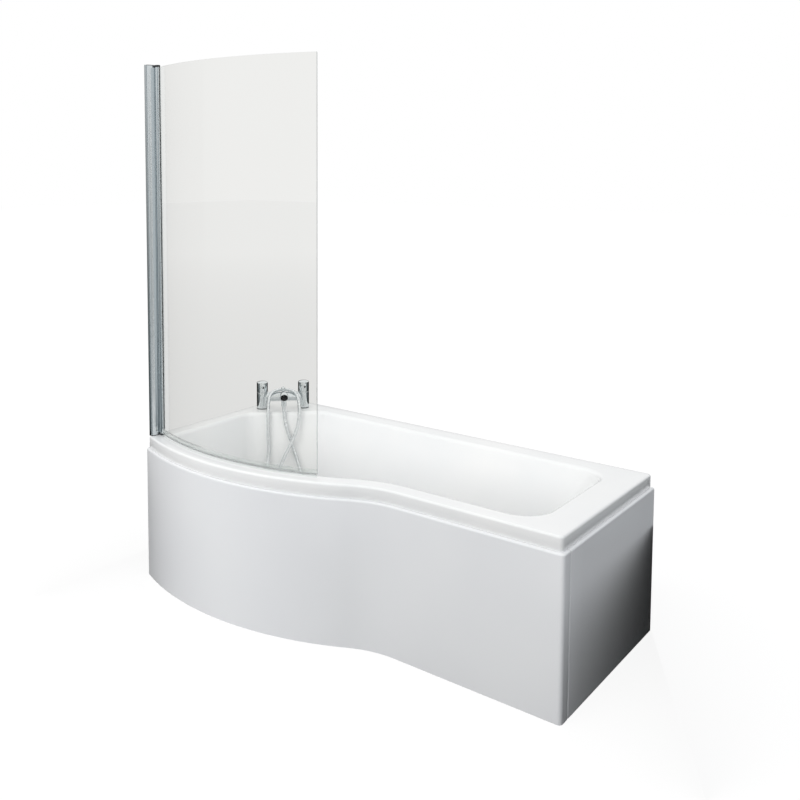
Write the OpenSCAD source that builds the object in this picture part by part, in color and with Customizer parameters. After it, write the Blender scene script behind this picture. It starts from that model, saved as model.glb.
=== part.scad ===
// B-shaped shower bath: acrylic shell on a leg frame, clip-on panels, waste and overflow,
// a deck bath shower mixer set across the corner, and a curved glass screen on a wall hinge.
// It is drawn from the wall corner at the tap end, on the straight front line of the narrow end,
// then moved so that the origin is the middle of its footprint on the floor.

/* [Bath shell] */
// Length of the rim along the back wall
bath_l = 1700; // [1650:5:1760]
// Width of the rim at the narrow foot end
bath_w = 700; // [690:2:730]
// Height of the rim above the floor
rim_h = 555; // [545:1:570]
// How far the rim of the wide end stands in front of the straight front line
bulge_out = 176; // [165:1:185]
// Radius of the rim round the wide end
bulge_r = 1105; // [1080:5:1140]
// Distance of the middle of the wide end from the tap-end wall
bulge_x = 430; // [420:2:440]
// Radius of the hollow curve that joins the wide end to the straight front
blend_r = 350; // [320:5:380]
// Depth of the rim's outer skirt
rim_drop = 46; // [42:1:50]
// Thickness of the acrylic and its backing
shell_t = 5; // [4:0.5:6]
// Width of the deck along the front
deck_front = 75; // [74:1:80]
// Width of the deck along the back wall
deck_back = 88; // [80:1:95]
// Width of the deck along the tap-end wall
deck_left = 70; // [62:1:76]
// Width of the deck at the foot end
deck_right = 120; // [105:1:135]
// Depth of the basin below the rim
basin_depth = 400; // [390:1:408]
// How far the side walls lean in from deck to floor
side_lean = 45; // [35:1:55]
// How far the back rest at the foot end leans in
rest_lean = 180; // [150:5:210]
// Radius where the walls meet the basin floor
bowl_r = 70; // [60:1:78]
// Radius of the deck's inner edge
deck_roll = 16; // [13:0.5:16]
// Radius of the rim's outer top edge
rim_edge_r = 8; // [6:0.5:9]

/* [Panels] */
// How far the panels stand in front of the rim
panel_proud = 10; // [8:0.5:12]
// Thickness of a panel
panel_t = 3; // [2.5:0.1:4]
// Gap between the rim's skirt and the top of a panel
panel_gap = 0.3; // [0.3:0.1:1]
// Radius of a panel's top edge
panel_edge_r = 8; // [6:0.5:8]
// How far the front panel turns round the foot-end corner
panel_return = 36; // [30:1:44]
// Width of the joint between the front and end panels
panel_joint = 2; // [1:0.5:3]

/* [Leg frame] */
// Thickness of the board under the basin floor
board_t = 16; // [14:1:18]
// Height of a cradle bar
bar_h = 25; // [22:1:28]
// Width of a cradle bar
bar_w = 40; // [36:1:46]
// Wall of a cradle bar
bar_t = 2.5; // [2:0.5:3]
// Diameter of a leg rod
rod_d = 12; // [10:1:14]
// Diameter of a foot
foot_d = 50; // [40:1:60]
// Height of a foot
foot_h = 14; // [12:1:18]

/* [Waste and overflow] */
// Distance of the waste from the tap-end wall
waste_x = 330; // [320:1:345]
// Distance of the waste from the straight front line
waste_y = 230; // [222:1:240]
// Diameter of the waste flange
flange_d = 70; // [68:1:74]
// Outside diameter of the waste's thread
waste_thread_d = 48; // [46:0.5:50]
// Travel of the push plug
plug_travel = 6; // [5:0.5:8]
// Diameter of the plug's stem
plug_stem_d = 8; // [7:0.5:9]
// Outside diameter of the waste pipe that the trap takes
waste_pipe_d = 43; // [40:0.5:44]
// Distance of the overflow from the straight front line
overflow_y = 100; // [90:1:110]
// Depth of the overflow below the rim
overflow_down = 145; // [135:1:155]
// Diameter of the overflow face
overflow_d = 70; // [60:1:76]

/* [Bath shower mixer] */
// Distance between the two pillars
tap_centres = 180; // [178:1:182]
// Distance of the mixer's middle from the tap-end wall
tap_x = 122; // [120:1:126]
// Distance of the mixer's middle from the back wall
tap_back = 145; // [141:1:147]
// Distance from the mixer's middle to the deck's inner edge in front of it
tap_deck = 80; // [78:1:82]
// Diameter of a pillar
pillar_d = 48; // [46:1:50]
// Height of a pillar with its handle
pillar_h = 120; // [116:1:128]
// Height where the handle starts
handle_z = 72; // [71:0.5:74]
// Diameter of the cross tube
cross_d = 40; // [36:1:42]
// Height of the cross tube's axis above the deck
cross_z = 50; // [48:0.5:51]
// Diameter of the spout
spout_d = 36; // [34:0.5:37]
// Wall of the spout
spout_t = 3; // [2.5:0.1:3.5]
// Length of the spout's straight part from the cross tube's axis
spout_l = 98; // [97:0.5:104]
// How far the spout rises
spout_rise = 14; // [12:0.5:15]
// How far the spout's mouth points down
spout_drop = 22; // [18:1:26]
// Diameter of the diverter knob
knob_d = 18; // [16:0.5:19]
// Height of the diverter knob
knob_h = 24; // [22:0.5:27]
// Distance of the knob in front of the cross tube's axis
knob_out = 20; // [19.5:0.5:22]
// Travel of the diverter
diverter_travel = 8; // [6:0.5:9]
// Diameter of the diverter stem
stem_d = 6; // [5:0.5:7]
// Distance of the shower outlet in front of the cross tube's axis
outlet_out = 86; // [84:0.5:87]
// Diameter of the threaded tails
tail_d = 26.4; // [26:0.1:27]
// Length of the threaded tails below the deck
tail_l = 55; // [50:1:60]

/* [Shower hose and handset] */
// Outside diameter of the hose
hose_d = 14; // [12:0.5:14]
// Diameter of the hose nuts
nut_d = 23; // [21:0.5:24]
// Length of the handset's handle
handset_l = 153; // [145:1:154]
// Diameter of the handset's handle
handset_d = 24; // [20:0.5:26]
// Diameter of the handset's head
head_d = 62; // [56:1:66]

/* [Screen] */
// Height of the screen above the deck
screen_h = 1435; // [1300:5:1600]
// Thickness of the glass
glass_t = 6; // [5:0.5:8]
// Distance of the glass behind the edge of the rim
glass_in = 47; // [46:0.5:50]
// Distance of the glass's free end from the tap-end wall
glass_end = 827; // [780:1:850]
// Height of the glass's lower edge above the deck
glass_lift = 14; // [12:0.5:18]
// Distance of the hinge axis from the tap-end wall
hinge_x = 34; // [33.5:0.5:36]
// Diameter of the hinge barrel
barrel_d = 20; // [19:0.5:20.5]
// Diameter of the hinge pins
pin_d = 8; // [7:0.5:9]
// Width of the wall channel
channel_w = 48; // [46:1:52]
// Depth of the wall channel
channel_x = 12; // [10:0.5:13]
// Wall of the aluminium profiles
profile_t = 2; // [1.6:0.1:2.4]

/* [Fits] */
// Clearance round a turning or sliding fit, on the radius
run_fit = 0.05; // [0.02:0.01:0.1]
// Clearance round a fixed piece that is slid into place
slide_fit = 0.3; // [0.1:0.05:0.5]

/* [Hidden] */
$fn = 96;

acrylic = "#F1F1EF";
chrome = "#B9C0C4";
rubber = "#2B2D2F";
white_plastic = "#E6E6E2";
zinc = "#A9ADB0";

// The rim's outline: an arc round the wide end, a hollow blend and a straight front, each at inset d
floor_z = rim_h - basin_depth;
bulge_c = [bulge_x, bulge_r - bulge_out];
blend_c = [bulge_x + sqrt(pow(bulge_r + blend_r, 2) - pow(bulge_c.y + blend_r, 2)), -blend_r];
function blend_start(d) = bulge_x + (blend_c.x - bulge_x) * (bulge_r - d) / (bulge_r + blend_r);
function front_y(x, d) =
    x < blend_start(d) ? bulge_c.y - sqrt(pow(bulge_r - d, 2) - pow(x - bulge_x, 2)) :
    x < blend_c.x ? blend_c.y + sqrt(pow(blend_r + d, 2) - pow(x - blend_c.x, 2)) : d;

// Rounded corner at p between the points a and b, as n + 1 points
function unit(v) = v / norm(v);
function round_corner(a, p, b, r, n) =
    let (u = unit(a - p), v = unit(b - p), half = acos(u * v) / 2,
        c = p + unit(u + v) * r / sin(half),
        s = p + u * r / tan(half) - c, e = p + v * r / tan(half) - c,
        a0 = atan2(s.y, s.x), turn = atan2(s.x * e.y - s.y * e.x, s * e))
    [for (i = [0 : n]) c + r * [cos(a0 + turn * i / n), sin(a0 + turn * i / n)]];

// One closed ring of the shell, from its insets at the four sides and across the tap corner
front_n = 46;
corner_n = 5;
function ring(front, back, left, right, tap, r_front, r_foot, r_tap, z) =
    let (xl = left, xr = bath_l - right, yb = bath_w - back,
        lead = max(r_front, r_foot) + 10, cut = tap * sqrt(2),
        fl = [xl, front_y(xl, front)], fr = [xr, front_y(xr, front)], br = [xr, yb],
        c1 = [cut - back, yb], c2 = [xl, xl + bath_w - cut],
        line = [for (i = [0 : front_n]) let (x = xl + lead + (xr - xl - 2 * lead) * i / front_n)
            [x, front_y(x, front)]],
        flat = concat(round_corner(c2, fl, line[0], r_front, corner_n), line,
            round_corner(line[front_n], fr, br, r_foot, corner_n),
            round_corner(fr, br, c1, r_foot, corner_n),
            round_corner(br, c1, c2, r_tap, corner_n),
            round_corner(c1, c2, fl, r_tap, corner_n)))
    [for (p = flat) [p.x, p.y, z]];

// Rings of the basin, e inside the deck's inner edge with the share s of the walls' lean
basin_r_front = 80;
basin_r_foot = 105;
basin_r_tap = 70;
tap_corner = (tap_x + tap_back) / sqrt(2);
function basin_ring(e, s, z) =
    ring(deck_front + e + s * side_lean, deck_back + e + s * side_lean,
        deck_left + e + s * side_lean, deck_right + e + s * rest_lean,
        tap_corner + tap_deck + e + s * side_lean,
        basin_r_front - 0.4 * e, basin_r_foot - 0.4 * e, basin_r_tap - 0.4 * e, z);
function rim_ring(d, z) =
    ring(d, d, d, d, d * sqrt(2) + 5, 14 - d, 14 - d, 8, z);

// The shell's section as rings: up the basin, over the deck, down the skirt, and back underneath
wall_low = floor_z + bowl_r;
wall_high = rim_h - deck_roll;
bowl_steps = [90, 72, 54, 36, 18, 0];
roll_steps = [90, 70, 50, 30, 15, 0];
edge_steps = [0, 30, 60, 90];
shell_rings = concat(
    [for (a = bowl_steps) basin_ring(bowl_r * (1 - cos(a)), 1, wall_low - bowl_r * sin(a))],
    [for (a = roll_steps) basin_ring(deck_roll * (sin(a) - 1), 0, wall_high + deck_roll * cos(a))],
    [for (a = edge_steps) rim_ring(rim_edge_r * (1 - sin(a)), rim_h - rim_edge_r * (1 - cos(a)))],
    [rim_ring(0, rim_h - rim_drop), rim_ring(shell_t, rim_h - rim_drop),
        rim_ring(shell_t, rim_h - shell_t)],
    [for (i = [5 : -1 : 0]) let (a = roll_steps[i], r = deck_roll - shell_t)
        basin_ring(r * sin(a) - deck_roll, 0, wall_high + r * cos(a))],
    [for (i = [5 : -1 : 0]) let (a = bowl_steps[i], r = bowl_r + shell_t)
        basin_ring(bowl_r - r * cos(a), 1, wall_low - r * sin(a))]);

// Solid that closes a list of equal rings, with a flat face at each end
module ring_solid(rings) {
    m = len(rings);
    n = len(rings[0]);
    polyhedron(points = [for (r = rings) each r],
        faces = concat([[for (j = [n - 1 : -1 : 0]) j]],
            [for (i = [0 : m - 2], j = [0 : n - 1]) let (k = (j + 1) % n)
                [i * n + j, i * n + k, (i + 1) * n + k]],
            [for (i = [0 : m - 2], j = [0 : n - 1]) let (k = (j + 1) % n)
                [i * n + j, (i + 1) * n + k, (i + 1) * n + j]],
            [[for (j = [0 : n - 1]) (m - 1) * n + j]]), convexity = 8);
}

// Round tube swept along a route of points, square to its first and last runs
function side_of(t) = unit(cross(t, abs(t.z) > 0.9 ? [1, 0, 0] : [0, 0, 1]));
function route_dir(p, i) = unit(p[min(i + 1, len(p) - 1)] - p[max(i - 1, 0)]);
function carried(p, i) = i == 0 ? side_of(route_dir(p, 0)) :
    let (t = route_dir(p, i), u = carried(p, i - 1)) unit(u - (u * t) * t);
module swept_tube(p, d, sides) {
    ring_solid([for (i = [0 : len(p) - 1]) let (t = route_dir(p, i), u = carried(p, i), v = cross(t, u))
        [for (k = [0 : sides - 1]) p[i] + d / 2 * (cos(-360 * k / sides) * u + sin(-360 * k / sides) * v)]]);
}

// Places
module place() {
    translate([-(bath_l + panel_proud) / 2, -(bath_w - bulge_out - panel_proud) / 2, 0]) children();
}
module at_tap() {
    translate([tap_x, bath_w - tap_back, rim_h]) rotate([0, 0, 45]) children();
}
module at_waste() {
    translate([waste_x, waste_y, floor_z]) children();
}
waste_hole_d = waste_thread_d + 3;
tail_hole_d = tail_d + 3;
overflow_z = rim_h - overflow_down;
overflow_share = (wall_high - overflow_z) / (wall_high - wall_low);
overflow_x = deck_left + side_lean * overflow_share;
overflow_tilt = atan(side_lean / (wall_high - wall_low));
overflow_hole_d = 46;
module at_overflow() {
    translate([overflow_x, overflow_y, overflow_z]) rotate([0, -overflow_tilt, 0]) children();
}
module bar_across(d, l) {
    rotate([0, 90, 0]) cylinder(d = d, h = l, center = true);
}

// Bath shell
module bath_shell() color(acrylic) place() difference() {
    ring_solid(shell_rings);
    at_tap() for (s = [-1, 1]) translate([s * tap_centres / 2, 0, -shell_t * 3])
        cylinder(d = tail_hole_d, h = shell_t * 4);
    at_waste() translate([0, 0, -shell_t * 2]) cylinder(d = waste_hole_d, h = shell_t * 3);
    at_overflow() bar_across(overflow_hole_d, shell_t * 6);
}

// Leg frame: a board, three bars and six rods with nuts and feet
board_top = floor_z - shell_t;
board_low = board_top - board_t;
board_in = 8;
bar_low = board_low - bar_h;
bar_first = 450;
bar_in = 112;
board_end = bath_l - deck_right - rest_lean - bowl_r - board_in;
bar_last = board_end - bar_in;
bar_places = [bar_first, (bar_first + bar_last) / 2, bar_last];
function bar_front(x) = front_y(x, deck_front + 10);
bar_back_in = 40;
bar_back = bath_w - deck_back - bar_back_in;
leg_inset = 45;
rod_in = 8;
rod_over = 5;
foot_rim = 6;
function leg_y(x) = [bar_front(x) + leg_inset, bar_back - leg_inset];
module each_leg() {
    for (x = bar_places, y = leg_y(x)) translate([x, y, 0]) children();
}
nut_h = 8;
module hex_nut(d, h, bore) {
    difference() {
        cylinder(d = d, h = h, $fn = 6);
        translate([0, 0, -1]) cylinder(d = bore, h = h + 2);
    }
}
module baseboard() color("#C9A97A") place() difference() {
    translate([0, 0, board_low]) linear_extrude(board_t)
        polygon([for (p = basin_ring(bowl_r + board_in, 1, 0)) [p.x, p.y]]);
    at_waste() translate([0, 0, -waste_l]) cylinder(d = flange_d + 16, h = waste_l);
}
module cradle_bars() color(zinc) place() for (x = bar_places) difference() {
    translate([x - bar_w / 2, bar_front(x), bar_low]) cube([bar_w, bar_back - bar_front(x), bar_h]);
    translate([x - bar_w / 2 + bar_t, bar_front(x) - 1, bar_low + bar_t])
        cube([bar_w - 2 * bar_t, bar_back - bar_front(x) + 2, bar_h]);
    for (y = leg_y(x)) translate([x, y, bar_low - 1]) cylinder(d = rod_d + 2 * slide_fit, h = bar_t + 2);
}
module leg_rods() color(zinc) place() each_leg()
    translate([0, 0, foot_h - rod_in])
        cylinder(d = rod_d, h = bar_low + bar_t + nut_h + rod_over - foot_h + rod_in);
module leg_nuts() color("#8E9295") place() each_leg() for (z = [bar_low - nut_h, bar_low + bar_t])
    translate([0, 0, z]) hex_nut(rod_d * 1.75, nut_h, rod_d);
module leg_feet() color(rubber) place() each_leg() difference() {
    union() {
        cylinder(d = foot_d, h = foot_rim);
        translate([0, 0, foot_rim]) cylinder(d1 = foot_d, d2 = rod_d + 10, h = foot_h - foot_rim);
    }
    translate([0, 0, foot_h - rod_in]) cylinder(d = rod_d, h = rod_in + 2);
}

// Wall brackets: plates on the wall that hook up behind the rim's skirt
bracket_w = 40;
bracket_t = 2.5;
bracket_drop = 45;
bracket_hook = 22;
screw_d = 5;
back_brackets = [520, bath_l - 420];
end_bracket = bath_w - 400;
module at_brackets() {
    for (x = back_brackets) translate([x, bath_w, rim_h - rim_drop]) children();
    translate([0, end_bracket, rim_h - rim_drop]) rotate([0, 0, 90]) children();
}
module wall_brackets() color(zinc) place() at_brackets() difference() {
    union() {
        translate([-bracket_w / 2, -bracket_t, -bracket_drop]) cube([bracket_w, bracket_t, bracket_drop]);
        translate([-bracket_w / 2, -shell_t - slide_fit - bracket_t, -bracket_t])
            cube([bracket_w, shell_t + slide_fit + bracket_t, bracket_t]);
        translate([-bracket_w / 2, -shell_t - slide_fit - bracket_t, -bracket_t])
            cube([bracket_w, bracket_t, bracket_hook]);
    }
    for (s = [-1, 1]) translate([s * bracket_w / 4, -bracket_t / 2, -bracket_drop / 2 - 4])
        rotate([90, 0, 0]) cylinder(d = screw_d, h = 2 * bracket_t, center = true);
}

// Panels: a section of inset and height swept along the front line and round the foot-end corner
panel_top = rim_h - rim_drop - panel_gap;
lip_in = 12;
panel_arc = [0, 22.5, 45, 67.5, 90];
panel_outer_r = panel_edge_r;
panel_inner_r = panel_edge_r - panel_t;
panel_section = concat(
    [[-panel_proud, 0]],
    [for (a = panel_arc) [-panel_proud + panel_outer_r * (1 - cos(a)),
        panel_top - panel_outer_r * (1 - sin(a))]],
    [[lip_in, panel_top], [lip_in, panel_top - panel_t]],
    [for (i = [4 : -1 : 0]) let (a = panel_arc[i]) [-panel_proud + panel_outer_r - panel_inner_r * cos(a),
        panel_top - panel_outer_r + panel_inner_r * sin(a)]],
    [[panel_t - panel_proud, 0]]);
panel_n = 60;
function panel_line(d) = let (x1 = bath_l - 40,
    line = [for (i = [0 : panel_n]) let (x = x1 * i / panel_n) [x, front_y(x, d)]])
    concat(line, round_corner(line[panel_n], [bath_l - d, d], [bath_l - d, bath_w], max(1, 3 - d), 5),
        [[bath_l - d, panel_return]]);
panel_lines = [for (s = panel_section) panel_line(s.x)];
module front_panel() color(acrylic) place()
    ring_solid([for (k = [0 : len(panel_lines[0]) - 1])
        [for (i = [0 : len(panel_section) - 1]) let (p = panel_lines[i][k])
            [p.x, p.y, panel_section[i].y]]]);
module end_section() {
    difference() {
        union() {
            translate([-panel_proud, 0]) square([panel_t, panel_top - panel_outer_r]);
            translate([-panel_proud + panel_outer_r, panel_top - panel_t])
                square([lip_in + panel_proud - panel_outer_r, panel_t]);
            intersection() {
                translate([-panel_proud + panel_outer_r, panel_top - panel_outer_r])
                    circle(r = panel_outer_r);
                translate([-panel_proud, panel_top - panel_outer_r]) square(panel_outer_r);
            }
        }
        translate([-panel_proud + panel_outer_r, panel_top - panel_outer_r]) circle(r = panel_inner_r);
    }
}
module end_panel() color(acrylic) place() translate([bath_l, bath_w, 0]) rotate([90, 0, 0])
    linear_extrude(bath_w - panel_return - panel_joint) mirror([1, 0]) end_section();

// Spring clips under the rim that hold the panels' lips, and the battens that hold them at the floor
clip_w = 30;
clip_t = 2;
clip_up = 26;
clip_tab = 18;
clip_gap = 0.4;
clip_in = shell_t + clip_gap;
clip_back = lip_in + slide_fit;
clip_low = panel_top - panel_t - clip_t;
clip_top = panel_top + clip_up;
module clip() {
    translate([-clip_w / 2, clip_back, clip_low]) cube([clip_w, clip_t, clip_top - clip_low]);
    translate([-clip_w / 2, 0, clip_low]) cube([clip_w, clip_back + clip_t, clip_t]);
    translate([-clip_w / 2, clip_in, clip_top - clip_t])
        cube([clip_w, clip_back + clip_t - clip_in, clip_t]);
    translate([-clip_w / 2, clip_in, clip_top - clip_tab]) cube([clip_w, clip_t, clip_tab]);
}
function bulge_spot(a, d) = bulge_c + (bulge_r - d) * [sin(a), -cos(a)];
clip_angles = [-16, 0, 16];
front_clips = [bath_l - 450, bath_l - 140];
end_clips = [200, bath_w - 180];
module panel_clips() color(zinc) place() {
    for (a = clip_angles) translate(bulge_spot(a, 0)) rotate([0, 0, a]) clip();
    for (x = front_clips) translate([x, 0, 0]) clip();
    for (y = end_clips) translate([bath_l, y, 0]) rotate([0, 0, 90]) clip();
}
batten_h = 25;
batten_w = 38;
batten_in = panel_t - panel_proud + slide_fit;
module batten(l) {
    translate([-l / 2, batten_in, 0]) cube([l, batten_w, batten_h]);
}
front_batten = 460;
front_batten_in = 300;
end_batten_low = 100;
end_batten_high = bath_w - 40;
block_l = 120;
block_in = 2;
module floor_battens() color("#D9B98A") place() {
    for (a = clip_angles) translate(bulge_spot(a, block_in)) rotate([0, 0, a]) batten(block_l);
    translate([bath_l - front_batten_in, 0, 0]) batten(front_batten);
    translate([bath_l, (end_batten_low + end_batten_high) / 2, 0]) rotate([0, 0, 90])
        batten(end_batten_high - end_batten_low);
}

// Waste: a flange through the floor, washers, a nut below, and a push plug on a guided stem
washer_t = 2;
flange_t = 2.5;
waste_l = 46;
waste_bore_d = waste_thread_d - 6;
guide_z = -26;
guide_h = 10;
spoke_t = 3;
spoke_h = 8;
module waste_flange() color(chrome) place() at_waste() {
    difference() {
        union() {
            translate([0, 0, washer_t]) cylinder(d = flange_d, h = flange_t);
            translate([0, 0, -waste_l]) cylinder(d = waste_thread_d, h = waste_l + washer_t + 1);
        }
        translate([0, 0, -waste_l - 1]) cylinder(d = waste_bore_d, h = waste_l + 10);
    }
    difference() {
        union() {
            translate([0, 0, guide_z]) cylinder(d = plug_stem_d + 6, h = guide_h);
            for (a = [0, 120, 240]) rotate([0, 0, a])
                translate([0, -spoke_t / 2, guide_z + (guide_h - spoke_h) / 2])
                    cube([waste_bore_d / 2 + 1, spoke_t, spoke_h]);
        }
        translate([0, 0, guide_z - 1]) cylinder(d = plug_stem_d + 2 * run_fit, h = guide_h + 2);
    }
}
module waste_washers() color(rubber) place() at_waste()
    for (z = [0, -shell_t - washer_t]) difference() {
        translate([0, 0, z]) cylinder(d = flange_d - 2, h = washer_t);
        translate([0, 0, z - 1]) cylinder(d = waste_thread_d + 2 * run_fit, h = washer_t + 2);
    }
waste_nut_h = 9;
module waste_nut() color(white_plastic) place() at_waste()
    translate([0, 0, -shell_t - washer_t - waste_nut_h])
        hex_nut(flange_d + 2, waste_nut_h, waste_thread_d + 2 * run_fit);
plug_low = washer_t + flange_t + slide_fit;
seal_t = 2;
plug_dome_r = 46;
plug_crown = 6;
plug_r = waste_bore_d / 2 + 6;
stem_below = plug_travel + 4;
module waste_plug() color(chrome) place() at_waste() {
    translate([0, 0, plug_low + seal_t]) rotate_extrude() intersection() {
        translate([0, plug_crown - plug_dome_r]) circle(r = plug_dome_r);
        square([plug_r, plug_crown + 1]);
    }
    translate([0, 0, guide_z - stem_below])
        cylinder(d = plug_stem_d, h = plug_low + seal_t + stem_below - guide_z);
}
module plug_seal() color(rubber) place() at_waste() translate([0, 0, plug_low]) difference() {
    cylinder(d = waste_bore_d + 8, h = seal_t);
    translate([0, 0, -1]) cylinder(d = plug_stem_d, h = seal_t + 2);
}

// Trap: a low cup under the waste with a dip tube, an outlet to the back and an overflow spigot
cup_d = 84;
cup_t = 3;
cup_h = 62;
collar_l = 21;
cup_high = floor_z - waste_l - collar_l;
cup_low = cup_high - cup_h;
dip_up = 20;
trap_axis_z = cup_high - 26;
spigot_turn = 205;
spigot_d = 26;
spigot_l = 66;
trap_outlet_l = 62;
collar_d = waste_thread_d + 2 * run_fit;
module trap_body() color(white_plastic) place() translate([waste_x, waste_y, 0]) difference() {
    union() {
        translate([0, 0, cup_low]) cylinder(d = cup_d, h = cup_high - cup_low);
        translate([0, 0, cup_high]) cylinder(d = collar_d + 8, h = floor_z - waste_l - cup_high);
        translate([0, 0, trap_axis_z]) rotate([-90, 0, 0])
            cylinder(d = waste_pipe_d + 5, h = trap_outlet_l);
        translate([0, 0, trap_axis_z]) rotate([0, 0, spigot_turn]) rotate([0, 90, 0])
            cylinder(d = spigot_d, h = spigot_l);
    }
    difference() {
        translate([0, 0, cup_low + cup_t])
            cylinder(d = cup_d - 2 * cup_t, h = cup_high - cup_low - 2 * cup_t);
        translate([0, 0, cup_low + dip_up]) cylinder(d = waste_bore_d, h = cup_h);
    }
    translate([0, 0, cup_low + dip_up - 1]) cylinder(d = waste_bore_d - 5, h = floor_z);
    translate([0, cup_d / 2 - cup_t - 1, trap_axis_z]) rotate([-90, 0, 0])
        cylinder(d = waste_pipe_d + 2 * run_fit, h = trap_outlet_l);
    translate([0, 0, trap_axis_z]) rotate([0, 0, spigot_turn]) translate([cup_d / 2 - cup_t - 1, 0, 0])
        rotate([0, 90, 0]) cylinder(d = spigot_d - 4, h = spigot_l);
}
trap_nut_h = 24;
trap_nut_z = floor_z - waste_l - 8;
module trap_nut() color(white_plastic) place() translate([waste_x, waste_y, trap_nut_z]) difference() {
    cylinder(d = waste_thread_d + 20, h = trap_nut_h, $fn = 12);
    translate([0, 0, -1]) cylinder(d = collar_d + 8 + 2 * run_fit, h = floor_z - waste_l - trap_nut_z + 1);
    translate([0, 0, -1]) cylinder(d = waste_thread_d + 2 * run_fit, h = trap_nut_h + 2);
}
union_l = 24;
union_end = 6;
module outlet_union() color(white_plastic) place()
    translate([waste_x, waste_y + trap_outlet_l - union_l + union_end, trap_axis_z])
        rotate([-90, 0, 0]) difference() {
            cylinder(d = waste_pipe_d + 15, h = union_l, $fn = 12);
            translate([0, 0, -1]) cylinder(d = waste_pipe_d + 5 + 2 * run_fit, h = union_l - union_end + 1);
            translate([0, 0, -1]) cylinder(d = waste_pipe_d + 2 * run_fit, h = union_l + 2);
        }

// Overflow: a face in the tap-end wall, an elbow behind it and a pipe down to the trap
face_t = 6;
elbow_d = 30;
elbow_x = 14;
face_hole_d = 9;
module overflow_face() color(chrome) place() at_overflow() {
    difference() {
        translate([face_t / 2, 0, 0]) bar_across(overflow_d, face_t);
        for (a = [0 : 60 : 300]) rotate([a, 0, 0]) translate([0, overflow_d / 4, 0])
            bar_across(face_hole_d, 4 * face_t);
    }
    translate([-shell_t, 0, 0]) bar_across(12, 2 * shell_t);
}
module overflow_seal() color(rubber) place() at_overflow() translate([-shell_t - 1.2, 0, 0])
    difference() {
        bar_across(overflow_d - 6, 2);
        bar_across(overflow_hole_d - 4, 4);
    }
elbow_gap = 2.2;
elbow_at = -shell_t - elbow_gap - elbow_x / 2;
tail_below = 62;
tail_h = 40;
tail_bore = 20;
drop_x = overflow_x - shell_t - elbow_x - 6;
module overflow_elbow() color(white_plastic) place() difference() {
    union() {
        at_overflow() translate([elbow_at, 0, 0]) bar_across(overflow_d - 6, elbow_x);
        translate([drop_x, overflow_y, overflow_z - tail_below]) cylinder(d = elbow_d, h = tail_h);
    }
    at_overflow() translate([elbow_at + 4, 0, 0]) bar_across(overflow_hole_d - 6, elbow_x);
    translate([drop_x, overflow_y, overflow_z - tail_below - 2]) cylinder(d = tail_bore, h = tail_below - 2);
}
// The pipe leaves the elbow straight down and meets the trap's spigot in line, on one cubic curve
pipe_from = [drop_x, overflow_y, overflow_z - tail_below - slide_fit];
spigot_dir = [cos(spigot_turn), sin(spigot_turn), 0];
pipe_to = [waste_x, waste_y, trap_axis_z] + (spigot_l + slide_fit) * spigot_dir;
pipe_fall = 0.7 * (pipe_from.z - pipe_to.z);
pipe_reach = 130;
pipe_n = 14;
function cubic(a, b, c, d, t) =
    pow(1 - t, 3) * a + 3 * pow(1 - t, 2) * t * b + 3 * (1 - t) * t * t * c + pow(t, 3) * d;
pipe_end = 3;
pipe_route = concat([pipe_from],
    [for (i = [0 : pipe_n]) cubic(pipe_from - [0, 0, pipe_end], pipe_from - [0, 0, pipe_fall],
        pipe_to + pipe_reach * spigot_dir, pipe_to + pipe_end * spigot_dir, i / pipe_n)],
    [pipe_to]);
module overflow_pipe() color("#D8D8D4") place() swept_tube(pipe_route, spigot_d, 12);

// Mixer, seen from the front: the hot pillar is on the left
gasket_t = 2;
pillar_r = pillar_d / 2;
cartridge_d = 26;
cartridge_low = 40;
inlet_d = 18;
spout_r = spout_d / 2;
spout_bore = spout_d - 2 * spout_t;
elbow_r = 20;
module tap_body() color(chrome) place() at_tap() difference() {
    union() {
        for (s = [-1, 1]) translate([s * tap_centres / 2, 0, gasket_t])
            cylinder(d = pillar_d, h = handle_z - gasket_t);
        translate([0, 0, cross_z]) bar_across(cross_d, tap_centres);
    }
    for (s = [-1, 1]) translate([s * tap_centres / 2, 0, 0]) {
        translate([0, 0, cartridge_low]) cylinder(d = cartridge_d + 2 * run_fit, h = pillar_h);
        translate([0, 0, -1]) cylinder(d = inlet_d, h = cartridge_low + 2);
    }
    translate([0, 0, cross_z]) bar_across(cross_d - 14, tap_centres - 2);
    translate([0, 0, cross_z]) rotate([90 - spout_rise, 0, 0]) cylinder(d = spout_bore - 2, h = cross_d);
}
// The spout's straight part rises from the cross tube, and a slightly wider nose bends down
spout_end = [spout_l * cos(spout_rise), cross_z + spout_l * sin(spout_rise)];
bend_c = spout_end + elbow_r * [sin(spout_rise), -cos(spout_rise)];
bend_n = 6;
mouth_l = 6;
mouth_d = spout_bore + 0.6;
nose_d = spout_d + 0.4;
nose_bore = spout_bore - 1;
nose_over = 5;
function along(a) = [cos(a), sin(a)];
function bend_at(a) = bend_c + elbow_r * [-sin(a), cos(a)];
mouth = bend_at(-spout_drop) + mouth_l * along(-spout_drop);
nose_route = concat([spout_end - nose_over * along(spout_rise), spout_end - 2 * along(spout_rise)],
    [for (i = [0 : bend_n]) bend_at(spout_rise - (spout_rise + spout_drop) * i / bend_n)],
    [mouth - 3 * along(-spout_drop), mouth]);
module nose(d) {
    swept_tube([for (p = nose_route) [0, -p.x, p.y]], d, 24);
}
module along_spout() {
    translate([0, 0, cross_z]) rotate([90 - spout_rise, 0, 0]) children();
}
module at_mouth() {
    translate([0, -mouth.x, mouth.y]) rotate([90 + spout_drop, 0, 0]) children();
}
outlet_z = cross_z + outlet_out * tan(spout_rise);
outlet_d = 20.9;
hose_nut_h = 16;
nut_low = 28;
nut_top = nut_low + hose_nut_h;
module at_outlet() {
    translate([0, -outlet_out, 0]) children();
}
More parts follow.
